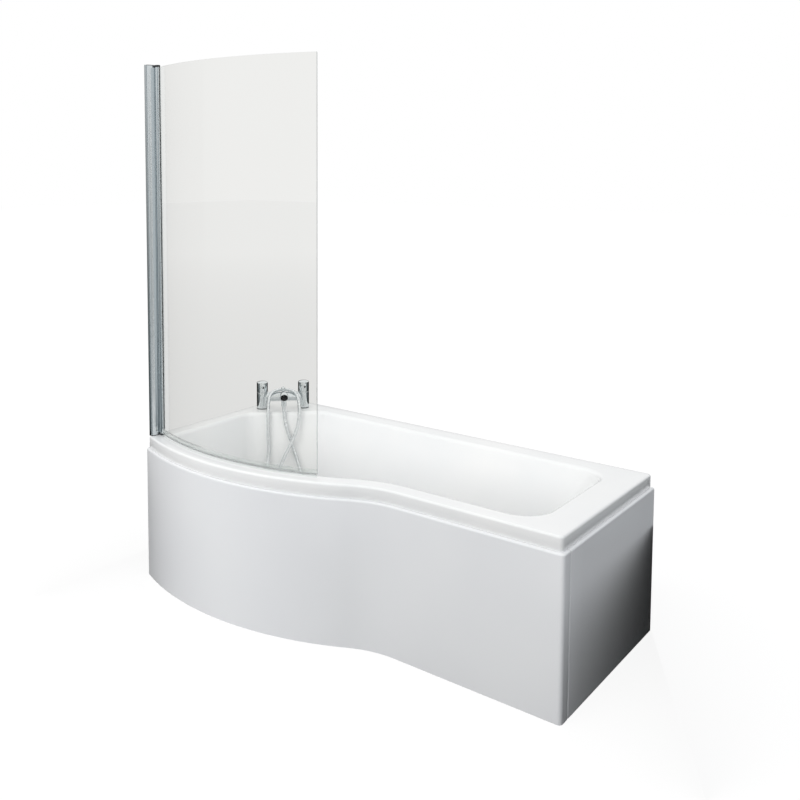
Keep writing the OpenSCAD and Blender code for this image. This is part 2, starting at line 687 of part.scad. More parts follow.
module spout() color(chrome) place() at_tap() {
    difference() {
        along_spout() cylinder(d = spout_d, h = spout_l);
        along_spout() translate([0, 0, -1]) cylinder(d = spout_bore, h = spout_l + 2);
        translate([0, 0, cross_z]) bar_across(cross_d, tap_centres);
        translate([0, -knob_out, cross_z]) cylinder(d = stem_d + 2 * run_fit, h = 60);
        at_outlet() translate([0, 0, nut_top]) cylinder(d = outlet_d, h = outlet_z - nut_top);
    }
    difference() {
        nose(nose_d);
        nose(nose_bore);
        at_mouth() translate([0, 0, -mouth_l]) cylinder(d = mouth_d, h = mouth_l + 5);
        at_outlet() translate([0, 0, nut_top]) cylinder(d = outlet_d, h = outlet_z - nut_top);
    }
}
module aerator() color("#17191A") place() at_tap() at_mouth() translate([0, 0, -mouth_l]) difference() {
    cylinder(d = mouth_d, h = mouth_l - 1);
    for (r = [0, 5, 10], a = [0 : 60 : 300]) rotate([0, 0, a + r * 3]) translate([r, 0, -1])
        cylinder(d = 2, h = mouth_l + 10);
}
knob_gap = 0.6;
valve_t = 4;
knob_axis_z = cross_z + knob_out * tan(spout_rise);
knob_low = knob_axis_z + spout_r / cos(spout_rise) + knob_gap;
valve_low = knob_axis_z - (diverter_travel + valve_t) / 2;
module diverter_knob() color(chrome) place() at_tap() translate([0, -knob_out, 0]) {
    translate([0, 0, knob_low]) rotate_extrude() intersection() {
        union() {
            translate([0, knob_d / 2]) circle(d = knob_d);
            translate([0, knob_d / 2]) square([knob_d / 2, knob_h - knob_d]);
            translate([0, knob_h - knob_d / 2]) circle(d = knob_d);
        }
        square([knob_d, knob_h]);
    }
    translate([0, 0, valve_low + 1]) cylinder(d = stem_d, h = knob_low - valve_low + 1);
}
module diverter_valve() color(rubber) place() at_tap() translate([0, -knob_out, 0]) {
    difference() {
        translate([0, 0, valve_low]) cylinder(d = spout_bore - 12, h = valve_t);
        translate([0, 0, valve_low + 1]) cylinder(d = stem_d, h = valve_t);
    }
}
handle_gap = 0.3;
handle_low = handle_z + handle_gap;
dome = 5;
edge_r = 3;
spindle_d = 8;
neck_d = tail_d - 0.6;
tail_free = tail_l - shell_t - 3 - nut_h;
spindle_top = handle_low + 24;
handle_side = pillar_r - 0.1;
index_z = 95;
index_d = 8.6;
index_t = 1.2;
module handle_shape() {
    rotate_extrude() difference() {
        intersection() {
            union() {
                translate([0, handle_low]) square([handle_side, pillar_h - dome - handle_low]);
                translate([0, pillar_h - dome - edge_r - 40]) square([handle_side - edge_r, 40 + edge_r]);
                translate([handle_side - edge_r, pillar_h - dome]) circle(r = edge_r);
                translate([0, pillar_h - dome]) square([handle_side - edge_r, dome]);
            }
            translate([0, pillar_h - 60]) circle(r = 60);
            translate([0, 0]) square([60, 200]);
        }
        translate([0, handle_low - 1]) square([spindle_d / 2, spindle_top - handle_low + 1]);
        translate([0, handle_low - 1]) square([cartridge_d / 2, 6]);
    }
}
module at_index() {
    rotate([0, 0, 10]) translate([0, -handle_side, index_z]) rotate([90, 0, 0]) children();
}
module handle(s) {
    at_tap() translate([s * tap_centres / 2, 0, 0]) difference() {
        handle_shape();
        at_index() translate([0, 0, -index_t]) cylinder(d = index_d, h = 5);
    }
}
module index_dot(s) {
    at_tap() translate([s * tap_centres / 2, 0, 0]) at_index() translate([0, 0, -index_t])
        cylinder(d = index_d - 0.1, h = index_t + 0.2);
}
module hot_handle() color(chrome) place() handle(-1);
module cold_handle() color(chrome) place() handle(1);
module hot_index() color("#141516") place() index_dot(-1);
module cold_index() color("#141516") place() index_dot(1);
module cartridge(s) {
    at_tap() translate([s * tap_centres / 2, 0, 0]) difference() {
        translate([0, 0, cartridge_low]) cylinder(d = cartridge_d, h = handle_z - 2 - cartridge_low);
        translate([0, 0, cartridge_low + 12]) cylinder(d = spindle_d + 2 * run_fit, h = 60);
    }
}
module spindle(s) {
    at_tap() translate([s * tap_centres / 2, 0, cartridge_low + 12 + run_fit])
        cylinder(d = spindle_d, h = spindle_top - cartridge_low - 12 - run_fit);
}
module hot_cartridge() color("#C8A45A") place() cartridge(-1);
module cold_cartridge() color("#C8A45A") place() cartridge(1);
module hot_spindle() color("#C8A45A") place() spindle(-1);
module cold_spindle() color("#C8A45A") place() spindle(1);
module tap_gaskets() color(rubber) place() at_tap() for (s = [-1, 1]) translate([s * tap_centres / 2, 0, 0])
    difference() {
        cylinder(d = pillar_d, h = gasket_t);
        translate([0, 0, -1]) cylinder(d = neck_d + 2 * run_fit, h = gasket_t + 2);
    }
module tap_tails() color("#C8A45A") place() at_tap() for (s = [-1, 1])
    translate([s * tap_centres / 2, 0, -tail_l]) difference() {
        union() {
            cylinder(d = tail_d, h = tail_free);
            cylinder(d = neck_d, h = tail_l + gasket_t);
        }
        translate([0, 0, -1]) cylinder(d = inlet_d, h = tail_l + gasket_t + 2);
    }
module tap_washers() color(white_plastic) place() at_tap() for (s = [-1, 1])
    translate([s * tap_centres / 2, 0, -shell_t - 3]) difference() {
        cylinder(d = pillar_d - 4, h = 3);
        translate([0, 0, -1]) cylinder(d = neck_d + 2 * run_fit, h = 5);
    }
module tap_backnuts() color("#C8A45A") place() at_tap() for (s = [-1, 1])
    translate([s * tap_centres / 2, 0, -shell_t - 3 - nut_h])
        hex_nut(tail_d * 1.45, nut_h, neck_d + 2 * run_fit);

// Shower outlet, hose and handset; the route runs [across, forward, up] from the mixer's middle
module shower_outlet() color(chrome) place() at_tap() at_outlet()
    translate([0, 0, nut_top - 8]) difference() {
        cylinder(d = outlet_d, h = outlet_z - spout_bore / 2 - nut_top + 8);
        translate([0, 0, -1]) cylinder(d = 12, h = 60);
    }
module outlet_nut() color(chrome) place() at_tap() at_outlet() translate([0, 0, nut_low]) difference() {
    cylinder(d = nut_d, h = hose_nut_h);
    translate([0, 0, hose_nut_h - 8]) cylinder(d = outlet_d, h = 10);
}
hose_route = [[0, 86, 28], [0, 86, 8], [4, 91, -34], [15, 99, -78], [29, 104.5, -120], [43, 112, -163],
    [57, 122, -209], [70, 133, -254], [81, 148, -298], [85, 170, -339], [74, 195, -367],
    [46, 214, -386], [11, 216, -389.5], [-21, 202, -375], [-39, 178, -344], [-38, 162, -298],
    [-29, 153, -252], [-15, 145, -209], [3, 137, -170], [23, 128, -134], [43, 116.5, -95],
    [58, 105, -52], [65.5, 95, -8], [66, 75, 27], [61, 47.5, 57.5], [48.5, 23.5, 73.5], [26, 4.5, 79],
    [0, -2, 79.8], [-26, 4.5, 79], [-48.5, 23.5, 73.5], [-61, 47.5, 57.5], [-66, 75, 27],
    [-69, 95, -10], [-69, 102, -55], [-67, 106, -105], [-66, 112, -160], [-73, 131, -205]];
// Smooth curve through a route's points, with n steps between each two
function curve_at(a, b, c, d, t) = (2 * b + (c - a) * t + (2 * a - 5 * b + 4 * c - d) * t * t
    + (3 * b - a - 3 * c + d) * t * t * t) / 2;
function smoothed(p, n) = let (m = len(p) - 1) concat(
    [for (i = [0 : m - 1], k = [0 : n - 1])
        curve_at(p[max(i - 1, 0)], p[i], p[i + 1], p[min(i + 2, m)], k / n)],
    [p[m]]);
hose_steps = 3;
module shower_hose() color("#C9CDCF") place() at_tap()
    swept_tube([for (p = smoothed(hose_route, hose_steps)) [p.x, -p.y, p.z]], hose_d, 12);
hand_tilt = 24;
hand_lean = 8;
hand_nut_l = 22;
head_t = 16;
face_d = 50;
spray_t = 2;
taper_d = 12;
taper_l = 36;
hand_from = hose_route[len(hose_route) - 1];
module along_hand() {
    translate([hand_from.x, -hand_from.y, hand_from.z]) rotate([180 - hand_tilt, hand_lean, 0]) children();
}
module handset_nut() color(chrome) place() at_tap() along_hand()
    cylinder(d1 = hose_d + 3, d2 = nut_d, h = hand_nut_l);
module at_head() {
    along_hand() translate([0, 0, hand_nut_l + handset_l]) rotate([-90, 0, 0]) children();
}
module handset() color(chrome) place() at_tap() difference() {
    union() {
        along_hand() translate([0, 0, hand_nut_l])
            cylinder(d1 = nut_d - 3, d2 = handset_d, h = handset_l - head_d / 2 + 4);
        at_head() rotate_extrude() polygon([[0, -head_t], [12, -head_t], [22, -head_t + 4],
            [head_d / 2 - 2, -4], [head_d / 2, -1], [head_d / 2, 1], [head_d / 2 - 1, 3], [0, 3]]);
        along_hand() translate([0, 0, hand_nut_l + handset_l - head_d / 2 - 16])
            cylinder(d1 = handset_d - 1, d2 = taper_d, h = taper_l);
    }
    at_head() translate([0, 0, 3 - spray_t]) cylinder(d = face_d, h = 10);
}
module spray_face() color(rubber) place() at_tap() at_head() difference() {
    translate([0, 0, 3 - spray_t]) cylinder(d = face_d, h = spray_t + 0.4);
    for (r = [6, 12, 18], a = [0 : 60 : 300]) rotate([0, 0, a + r * 5]) translate([r, 0, 2])
        cylinder(d = 1.6, h = 5);
}

// Screen: wall channel, adjusting profile with pivots, and the turning barrel, glass and seals
glass_r = bulge_r - glass_in;
glass_mid = glass_r - glass_t / 2;
hinge_y = bulge_c.y - sqrt(pow(glass_mid, 2) - pow(hinge_x - bulge_x, 2));
screen_top = rim_h + screen_h;
pivot_t = 8;
barrel_low = rim_h + pivot_t + slide_fit;
barrel_top = screen_top - pivot_t - slide_fit;
glass_low = rim_h + glass_lift;
channel_y = hinge_y - channel_w + barrel_d / 2;
gasket_w = 0.8;
clamp_t = 2.7;
clamp_x = 56;
clamp_low = glass_low + 14;
clamp_top = barrel_top - 0.5;
function arc_at(x) = asin((x - bulge_x) / glass_mid);
module arc_band(r_in, r_out, x0, x1, z0, z1) {
    translate([bulge_c.x, bulge_c.y, z0]) rotate([0, 0, arc_at(x0) - 90])
        rotate_extrude(angle = arc_at(x1) - arc_at(x0), $fn = 360)
            translate([r_in, 0]) square([r_out - r_in, z1 - z0]);
}
module wall_channel() color(chrome) place() difference() {
    translate([0, channel_y, rim_h]) cube([channel_x, channel_w, screen_h]);
    translate([profile_t, channel_y + profile_t, rim_h - 1])
        cube([channel_x, channel_w - 2 * profile_t, screen_h + 2]);
    for (z = screw_heights) translate([0, channel_y + channel_w / 2, z]) bar_across(screw_d, 20);
}
screw_heights = [for (i = [0 : 3]) rim_h + 120 + i * (screen_h - 240) / 3];
adjust_x0 = profile_t + 3.5;
adjust_x1 = hinge_x - barrel_d / 2 - 1.2;
adjust_y0 = channel_y + profile_t + slide_fit;
adjust_w = channel_w - 2 * profile_t - 2 * slide_fit;
function adjust_outline(t) =
    let (x0 = adjust_x0 + t, x1 = adjust_x1 - t, y0 = adjust_y0, y1 = y0 + adjust_w - t)
    [[x0, y0 + t], [x1 - 7, y0 + t], [x1 - 2, y0 + 12], [x1, y0 + 24], [x1, y1], [x0, y1]];
adjusting_z = [300, 717, 1130];
module adjusting_profile() color(chrome) place()
    translate([0, 0, rim_h + profile_t]) linear_extrude(screen_h - 2 * profile_t) difference() {
        polygon(adjust_outline(0));
        polygon(adjust_outline(profile_t));
    }
module adjusting_screws() color(zinc) place()
    for (z = adjusting_z) translate([adjust_x0 + 3.2, channel_y + channel_w, rim_h + z])
        rotate([-90, 0, 0]) cylinder(d = screw_d, h = 2);
module profile_caps() color("#2E3234") place() for (z = [rim_h, screen_top - profile_t])
    translate([0, 0, z]) linear_extrude(profile_t) polygon(adjust_outline(0));
plate_in = 2.5;
module pivot_plate() {
    translate([hinge_x, hinge_y]) circle(d = barrel_d - 2);
    translate([adjust_x1, hinge_y - barrel_d / 2 + plate_in])
        square([hinge_x - adjust_x1, barrel_d - 2 * plate_in]);
}
pin_l = 14;
module top_pivot() color("#3A3F42") place() {
    translate([0, 0, screen_top - pivot_t]) linear_extrude(pivot_t) pivot_plate();
    translate([hinge_x, hinge_y, screen_top - pivot_t - pin_l]) cylinder(d = pin_d, h = pin_l);
}
module bottom_pivot() color("#3A3F42") place() {
    translate([0, 0, rim_h]) linear_extrude(pivot_t) pivot_plate();
    translate([hinge_x, hinge_y, rim_h + pivot_t]) cylinder(d = pin_d, h = pin_l);
}
slot_x = hinge_x + 6;
module hinge_profile() color(chrome) place() difference() {
    union() {
        translate([hinge_x, hinge_y, barrel_low]) cylinder(d = barrel_d, h = barrel_top - barrel_low);
        arc_band(glass_r - glass_t - gasket_w - clamp_t, glass_r + gasket_w + clamp_t, hinge_x, clamp_x,
            clamp_low, clamp_top);
    }
    arc_band(glass_r - glass_t - gasket_w, glass_r + gasket_w, slot_x, clamp_x + 5,
        barrel_low - 1, barrel_top + 1);
    translate([hinge_x, hinge_y, barrel_low - 1])
        cylinder(d = pin_d + 2 * run_fit, h = barrel_top - barrel_low + 2);
}
module hinge_gasket() color("#9DA3A3") place() difference() {
    arc_band(glass_r - glass_t - gasket_w, glass_r + gasket_w, slot_x, clamp_x, clamp_low, clamp_top);
    arc_band(glass_r - glass_t - run_fit, glass_r + run_fit, slot_x + 0.8, clamp_x + 5,
        clamp_low - 1, barrel_top + 1);
}
module screen_glass() color("#DCE4E2", 0.5) place()
    arc_band(glass_r - glass_t, glass_r, slot_x + 1, glass_end, glass_low, clamp_top - 0.5);
seal_lift = 0.5;
seal_side = 2;
seal_up = 12;
module screen_seal() color("#D5DAD9") place() difference() {
    arc_band(glass_r - glass_t - seal_side, glass_r + seal_side, clamp_x - 8, glass_end,
        rim_h + seal_lift, glass_low + seal_up);
    arc_band(glass_r - glass_t - run_fit, glass_r + run_fit, clamp_x - 10, glass_end + 5,
        glass_low, glass_low + seal_up + 1);
}

bath_shell();
baseboard();
cradle_bars();
leg_rods();
leg_nuts();
leg_feet();
wall_brackets();
front_panel();
end_panel();
panel_clips();
floor_battens();
waste_flange();
waste_washers();
waste_nut();
waste_plug();
plug_seal();
trap_body();
trap_nut();
outlet_union();
overflow_face();
overflow_elbow();
overflow_seal();
overflow_pipe();
tap_body();
hot_handle();
cold_handle();
hot_index();
cold_index();
hot_cartridge();
cold_cartridge();
hot_spindle();
cold_spindle();
spout();
aerator();
diverter_knob();
diverter_valve();
shower_outlet();
outlet_nut();
shower_hose();
handset_nut();
handset();
spray_face();
tap_tails();
tap_backnuts();
tap_washers();
tap_gaskets();
wall_channel();
adjusting_profile();
adjusting_screws();
top_pivot();
bottom_pivot();
hinge_profile();
hinge_gasket();
screen_glass();
screen_seal();
profile_caps();
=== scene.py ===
from math import acos, asin, atan, atan2, cos, hypot, pi, radians, sin, sqrt, tan
import bmesh
import bpy
from mathutils import Matrix, Vector


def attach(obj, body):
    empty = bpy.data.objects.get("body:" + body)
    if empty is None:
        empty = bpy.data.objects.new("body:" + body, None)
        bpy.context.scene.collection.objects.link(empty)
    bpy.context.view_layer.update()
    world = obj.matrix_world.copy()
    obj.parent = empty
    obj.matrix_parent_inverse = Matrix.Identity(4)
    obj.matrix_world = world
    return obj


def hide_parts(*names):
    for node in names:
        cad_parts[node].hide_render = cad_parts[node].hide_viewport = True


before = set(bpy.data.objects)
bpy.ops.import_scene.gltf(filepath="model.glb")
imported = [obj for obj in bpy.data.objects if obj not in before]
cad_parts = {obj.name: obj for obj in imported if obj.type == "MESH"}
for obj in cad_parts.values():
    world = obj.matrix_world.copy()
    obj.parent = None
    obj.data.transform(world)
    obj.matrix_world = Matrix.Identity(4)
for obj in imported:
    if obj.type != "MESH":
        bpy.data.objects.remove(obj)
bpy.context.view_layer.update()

scene = bpy.context.scene

# Sizes are in millimetres from the wall corner at the tap end; place() turns them into the frame's metres
origin = {"x": 855.0, "y": 257.0}


def place(x, y, z):
    return Vector(((x - origin["x"]) / 1000, (y - origin["y"]) / 1000, z / 1000))


# Small tools for meshes and nodes


def linear(hexColour):
    parts = [int(hexColour[i:i + 2], 16) / 255 for i in (1, 3, 5)]
    return tuple(c / 12.92 if c <= 0.04045 else ((c + 0.055) / 1.055) ** 2.4 for c in parts) + (1.0,)


def addNode(tree, kind, settings=None, links=None):
    # settings are the node's own properties, its sockets by name or number, or a ramp's stops;
    # a link comes from a socket, or from a node's first output
    node = tree.nodes.new(kind)
    for key, value in (settings or {}).items():
        if key == "stops":
            while len(node.color_ramp.elements) < len(value):
                node.color_ramp.elements.new(0.5)
            for element, (at, colour) in zip(node.color_ramp.elements, value):
                element.position = at
                element.color = linear(colour)
        elif isinstance(key, str) and hasattr(node, key):
            setattr(node, key, value)
        else:
            node.inputs[key].default_value = value
    for socket, source in (links or {}).items():
        tree.links.new(getattr(source, "outputs", [source])[0], node.inputs[socket])
    return node


def pieceFrom(name, verts, faces, material, smooth=40):
    mesh = bpy.data.meshes.new(name)
    mesh.from_pydata([tuple(v) for v in verts], [], faces)
    mesh.validate()
    mesh.materials.append(material)
    piece = bpy.data.objects.new(name, mesh)
    scene.collection.objects.link(piece)
    shadeByAngle(piece, smooth)
    return piece


def shadeByAngle(piece, angle):
    mesh = piece.data
    mesh.shade_smooth()
    if angle < 180:
        mesh.set_sharp_from_angle(angle=radians(angle))


def joined(name, pieces, smooth):
    merged = bmesh.new()
    materials = []
    for piece in pieces:
        part = piece.data.copy()
        for slot in part.materials:
            if slot not in materials:
                materials.append(slot)
        index = [materials.index(slot) for slot in part.materials]
        for polygon in part.polygons:
            polygon.material_index = index[polygon.material_index]
        merged.from_mesh(part)
        bpy.data.objects.remove(piece)
    mesh = bpy.data.meshes.new(name)
    merged.to_mesh(mesh)
    merged.free()
    for slot in materials:
        mesh.materials.append(slot)
    whole = bpy.data.objects.new(name, mesh)
    scene.collection.objects.link(whole)
    shadeByAngle(whole, smooth)
    return whole


def ringPiece(name, rings, material, smooth, caps=True):
    count = len(rings[0])
    faces = [(i + j, i + (j + 1) % count, i + count + (j + 1) % count, i + count + j)
             for i in range(0, (len(rings) - 1) * count, count) for j in range(count)]
    if caps:
        faces.append(tuple(reversed(range(count))))
        faces.append(tuple((len(rings) - 1) * count + j for j in range(count)))
    return pieceFrom(name, [p for ring in rings for p in ring], faces, material, smooth)


def outward(piece):
    shell = bmesh.new()
    shell.from_mesh(piece.data)
    bmesh.ops.remove_doubles(shell, verts=shell.verts, dist=1e-7)
    bmesh.ops.recalc_face_normals(shell, faces=shell.faces)
    shell.to_mesh(piece.data)
    shell.free()
    return piece


def lathe(name, outline, material, turn, sides=64, smooth=35):
    # outline holds (radius, height) pairs in millimetres, from the axis round to the axis
    verts, faces, rings = [], [], []
    for r, h in outline:
        if r < 1e-6:
            rings.append([len(verts)])
            verts.append(turn @ Vector((0, 0, h / 1000)))
        else:
            rings.append(list(range(len(verts), len(verts) + sides)))
            verts += [turn @ Vector((r / 1000 * cos(2 * pi * k / sides), r / 1000 * sin(2 * pi * k / sides),
                                     h / 1000)) for k in range(sides)]
    for a, b in zip(rings, rings[1:]):
        for k in range(sides):
            n = (k + 1) % sides
            corners = [a[k % len(a)], a[n % len(a)], b[n % len(b)], b[k % len(b)]]
            face = tuple(dict.fromkeys(corners))
            if len(face) > 2:
                faces.append(face)
    return outward(pieceFrom(name, verts, faces, material, smooth))


def arcPoints(centre, radius, start, end, steps):
    return [(centre[0] + radius * cos(radians(start + (end - start) * i / steps)),
             centre[1] + radius * sin(radians(start + (end - start) * i / steps))) for i in range(steps + 1)]


def extruded(name, outline, low, high, material, smooth=12, bevel=0.0):
    # a tall piece smooths only between its near-flat faces, so that its bevels don't bend what it mirrors
    count = len(outline)
    verts = [place(x, y, low) for x, y in outline] + [place(x, y, high) for x, y in outline]
    faces = [tuple(reversed(range(count))), tuple(range(count, 2 * count))]
    faces += [(k, (k + 1) % count, (k + 1) % count + count, k + count) for k in range(count)]
    piece = outward(pieceFrom(name, verts, faces, material, smooth))
    if bevel:
        bevelled(piece, bevel, 2, smooth)
    return piece


def applied(piece):
    # the evaluated shape becomes the plain mesh, and the modifiers go
    evaluated = piece.evaluated_get(bpy.context.evaluated_depsgraph_get())
    mesh = bpy.data.meshes.new_from_object(evaluated)
    piece.modifiers.clear()
    piece.data = mesh
    return piece


def bevelled(piece, width, segments, smooth=30):
    modifier = piece.modifiers.new("edge", "BEVEL")
    modifier.width = width / 1000
    modifier.segments = segments
    modifier.limit_method = "ANGLE"
    modifier.angle_limit = radians(35)
    applied(piece)
    shadeByAngle(piece, smooth)


def cutBy(piece, cutter):
    modifier = piece.modifiers.new("cut", "BOOLEAN")
    modifier.object = cutter
    modifier.operation = "DIFFERENCE"
    modifier.solver = "EXACT"
    bpy.context.view_layer.update()
    applied(piece)
    bpy.data.objects.remove(cutter)
    return piece


def frameOf(centre, axis, side=None):
    # the place and turn that put a lathed piece's foot at centre and its axis along axis
    z = Vector(axis).normalized()
    x = Vector(side) if side else (Vector((1, 0, 0)) if abs(z.x) < 0.9 else Vector((0, 1, 0)))
    x = (x - x.dot(z) * z).normalized()
    return Matrix.Translation(centre) @ Matrix((x, z.cross(x), z)).transposed().to_4x4()


def sweep(name, points, radii, material, sides, smooth=35):
    # a round tube along points in metres, with a radius at each one
    t = (points[1] - points[0]).normalized()
    side = t.cross(Vector((0, 0, 1)) if abs(t.z) < 0.9 else Vector((1, 0, 0)))
    rings = []
    for i, p in enumerate(points):
        t = (points[min(i + 1, len(points) - 1)] - points[max(i - 1, 0)]).normalized()
        side = (side - side.dot(t) * t).normalized()
        up = t.cross(side)
        r = radii[i] if isinstance(radii, list) else radii
        rings.append([p + r * (cos(2 * pi * k / sides) * side + sin(2 * pi * k / sides) * up)
                      for k in range(sides)])
    return ringPiece(name, rings, material, smooth)


def ridesOn(piece, body, slot, *nodes):
    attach(piece, body)
    if nodes:
        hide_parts(*nodes)
    return piece


# Camera, solved from the photograph; the shift is a little less than the photograph's own
view = {"x": 2794.7, "y": -2380.3, "z": 1601.9, "yaw": -38.548, "pitch": 4.489, "roll": 0.106,
        "focal": 920.32, "centreX": 342.95, "centreY": 240.0, "frame": 800.0, "sensor": 36.0}


def makeCamera():
    data = bpy.data.cameras.new("photoCamera")
    data.sensor_width = view["sensor"]
    data.lens = view["focal"] / view["frame"] * view["sensor"]
    data.shift_x = 0.5 - view["centreX"] / view["frame"]
    data.shift_y = view["centreY"] / view["frame"] - 0.5
    data.clip_end = 60
    yaw, pitch, roll = (radians(view[key]) for key in ("yaw", "pitch", "roll"))
    ahead = Vector((sin(yaw) * cos(pitch), cos(yaw) * cos(pitch), -sin(pitch)))
    right = Vector((cos(yaw), -sin(yaw), 0))
    up = right.cross(ahead)
    turnedRight = right * cos(roll) + up * sin(roll)
    turnedUp = up * cos(roll) - right * sin(roll)
    camera = bpy.data.objects.new("photoCamera", data)
    camera.matrix_world = Matrix.Translation(place(view["x"], view["y"], view["z"])) @ \
        Matrix((turnedRight, turnedUp, -ahead)).transposed().to_4x4()
    scene.collection.objects.link(camera)
    scene.camera = camera


makeCamera()
print("camera placed")

# Finishes: each pattern hangs on Object coordinates, with its size in metres turned to a scale
shaderSockets = {"colour": "Base Color", "rough": "Roughness", "metal": "Metallic", "ior": "IOR",
                 "clear": "Transmission Weight", "coat": "Coat Weight", "coatRough": "Coat Roughness",
                 "specular": "Specular IOR Level", "glow": "Emission Color", "glowPower": "Emission Strength"}
rangeSockets = ("From Min", "From Max", "To Min", "To Max")


def newFinish(name, **sockets):
    # a material with its shader's constants set, and the Object coordinates to hang patterns on
    material = bpy.data.materials.new(name)
    material.use_nodes = True
    tree = material.node_tree
    shader = tree.nodes["Principled BSDF"]
    for key, value in sockets.items():
        shader.inputs[shaderSockets[key]].default_value = value
    coords = addNode(tree, "ShaderNodeTexCoord").outputs["Object"]
    return material, tree, shader, coords


def makeFinish(name, look):
    # a pattern is a noise's scale, detail and stretch, or another texture's settings; tone is a pattern with
    # its colours, rough a pattern with its range and what that turns to, relief a bump
    material, tree, shader, coords = newFinish(name, **look.get("shader", {}))
    made = {}
    for key, pattern in look["patterns"].items():
        noise = isinstance(pattern, tuple)
        settings = dict(zip(("Scale", "Detail", "stretch"), pattern) if noise else pattern)
        kind, socket = settings.pop("kind", "Noise"), settings.pop("from", "Fac")
        stretch, spot = settings.pop("stretch", None), coords
        if stretch:
            spot = addNode(tree, "ShaderNodeMapping", {"Scale": stretch}, {"Vector": coords})
        made[key] = addNode(tree, "ShaderNodeTex" + kind, settings, {"Vector": spot}).outputs[socket]
    if "tone" in look:
        key, stops = look["tone"]
        tone = addNode(tree, "ShaderNodeValToRGB", {"stops": stops}, {"Fac": made[key]})
        tree.links.new(tone.outputs["Color"], shader.inputs["Base Color"])
    if "rough" in look:
        key, *span = look["rough"]
        rough = addNode(tree, "ShaderNodeMapRange", dict(zip(rangeSockets, span)), {"Value": made[key]})
        tree.links.new(rough.outputs["Result"], shader.inputs["Roughness"])
    if "relief" in look:
        key, strength, distance = look["relief"]
        relief = addNode(tree, "ShaderNodeBump", {"Strength": strength, "Distance": distance},
                         {"Height": made[key]})
        tree.links.new(relief.outputs["Normal"], shader.inputs["Normal"])
    return material


def moulded(low, high, rough, grain=180.0, depth=0.12, ior=1.46):
    # an injection-moulded plastic or rubber, with the fine spark-eroded texture of its mould
    return {"shader": {"rough": rough, "ior": ior}, "patterns": {"cloud": (grain, 4.0)},
            "tone": ("cloud", [(0.3, low), (0.7, high)]), "relief": ("cloud", depth, 0.0003)}


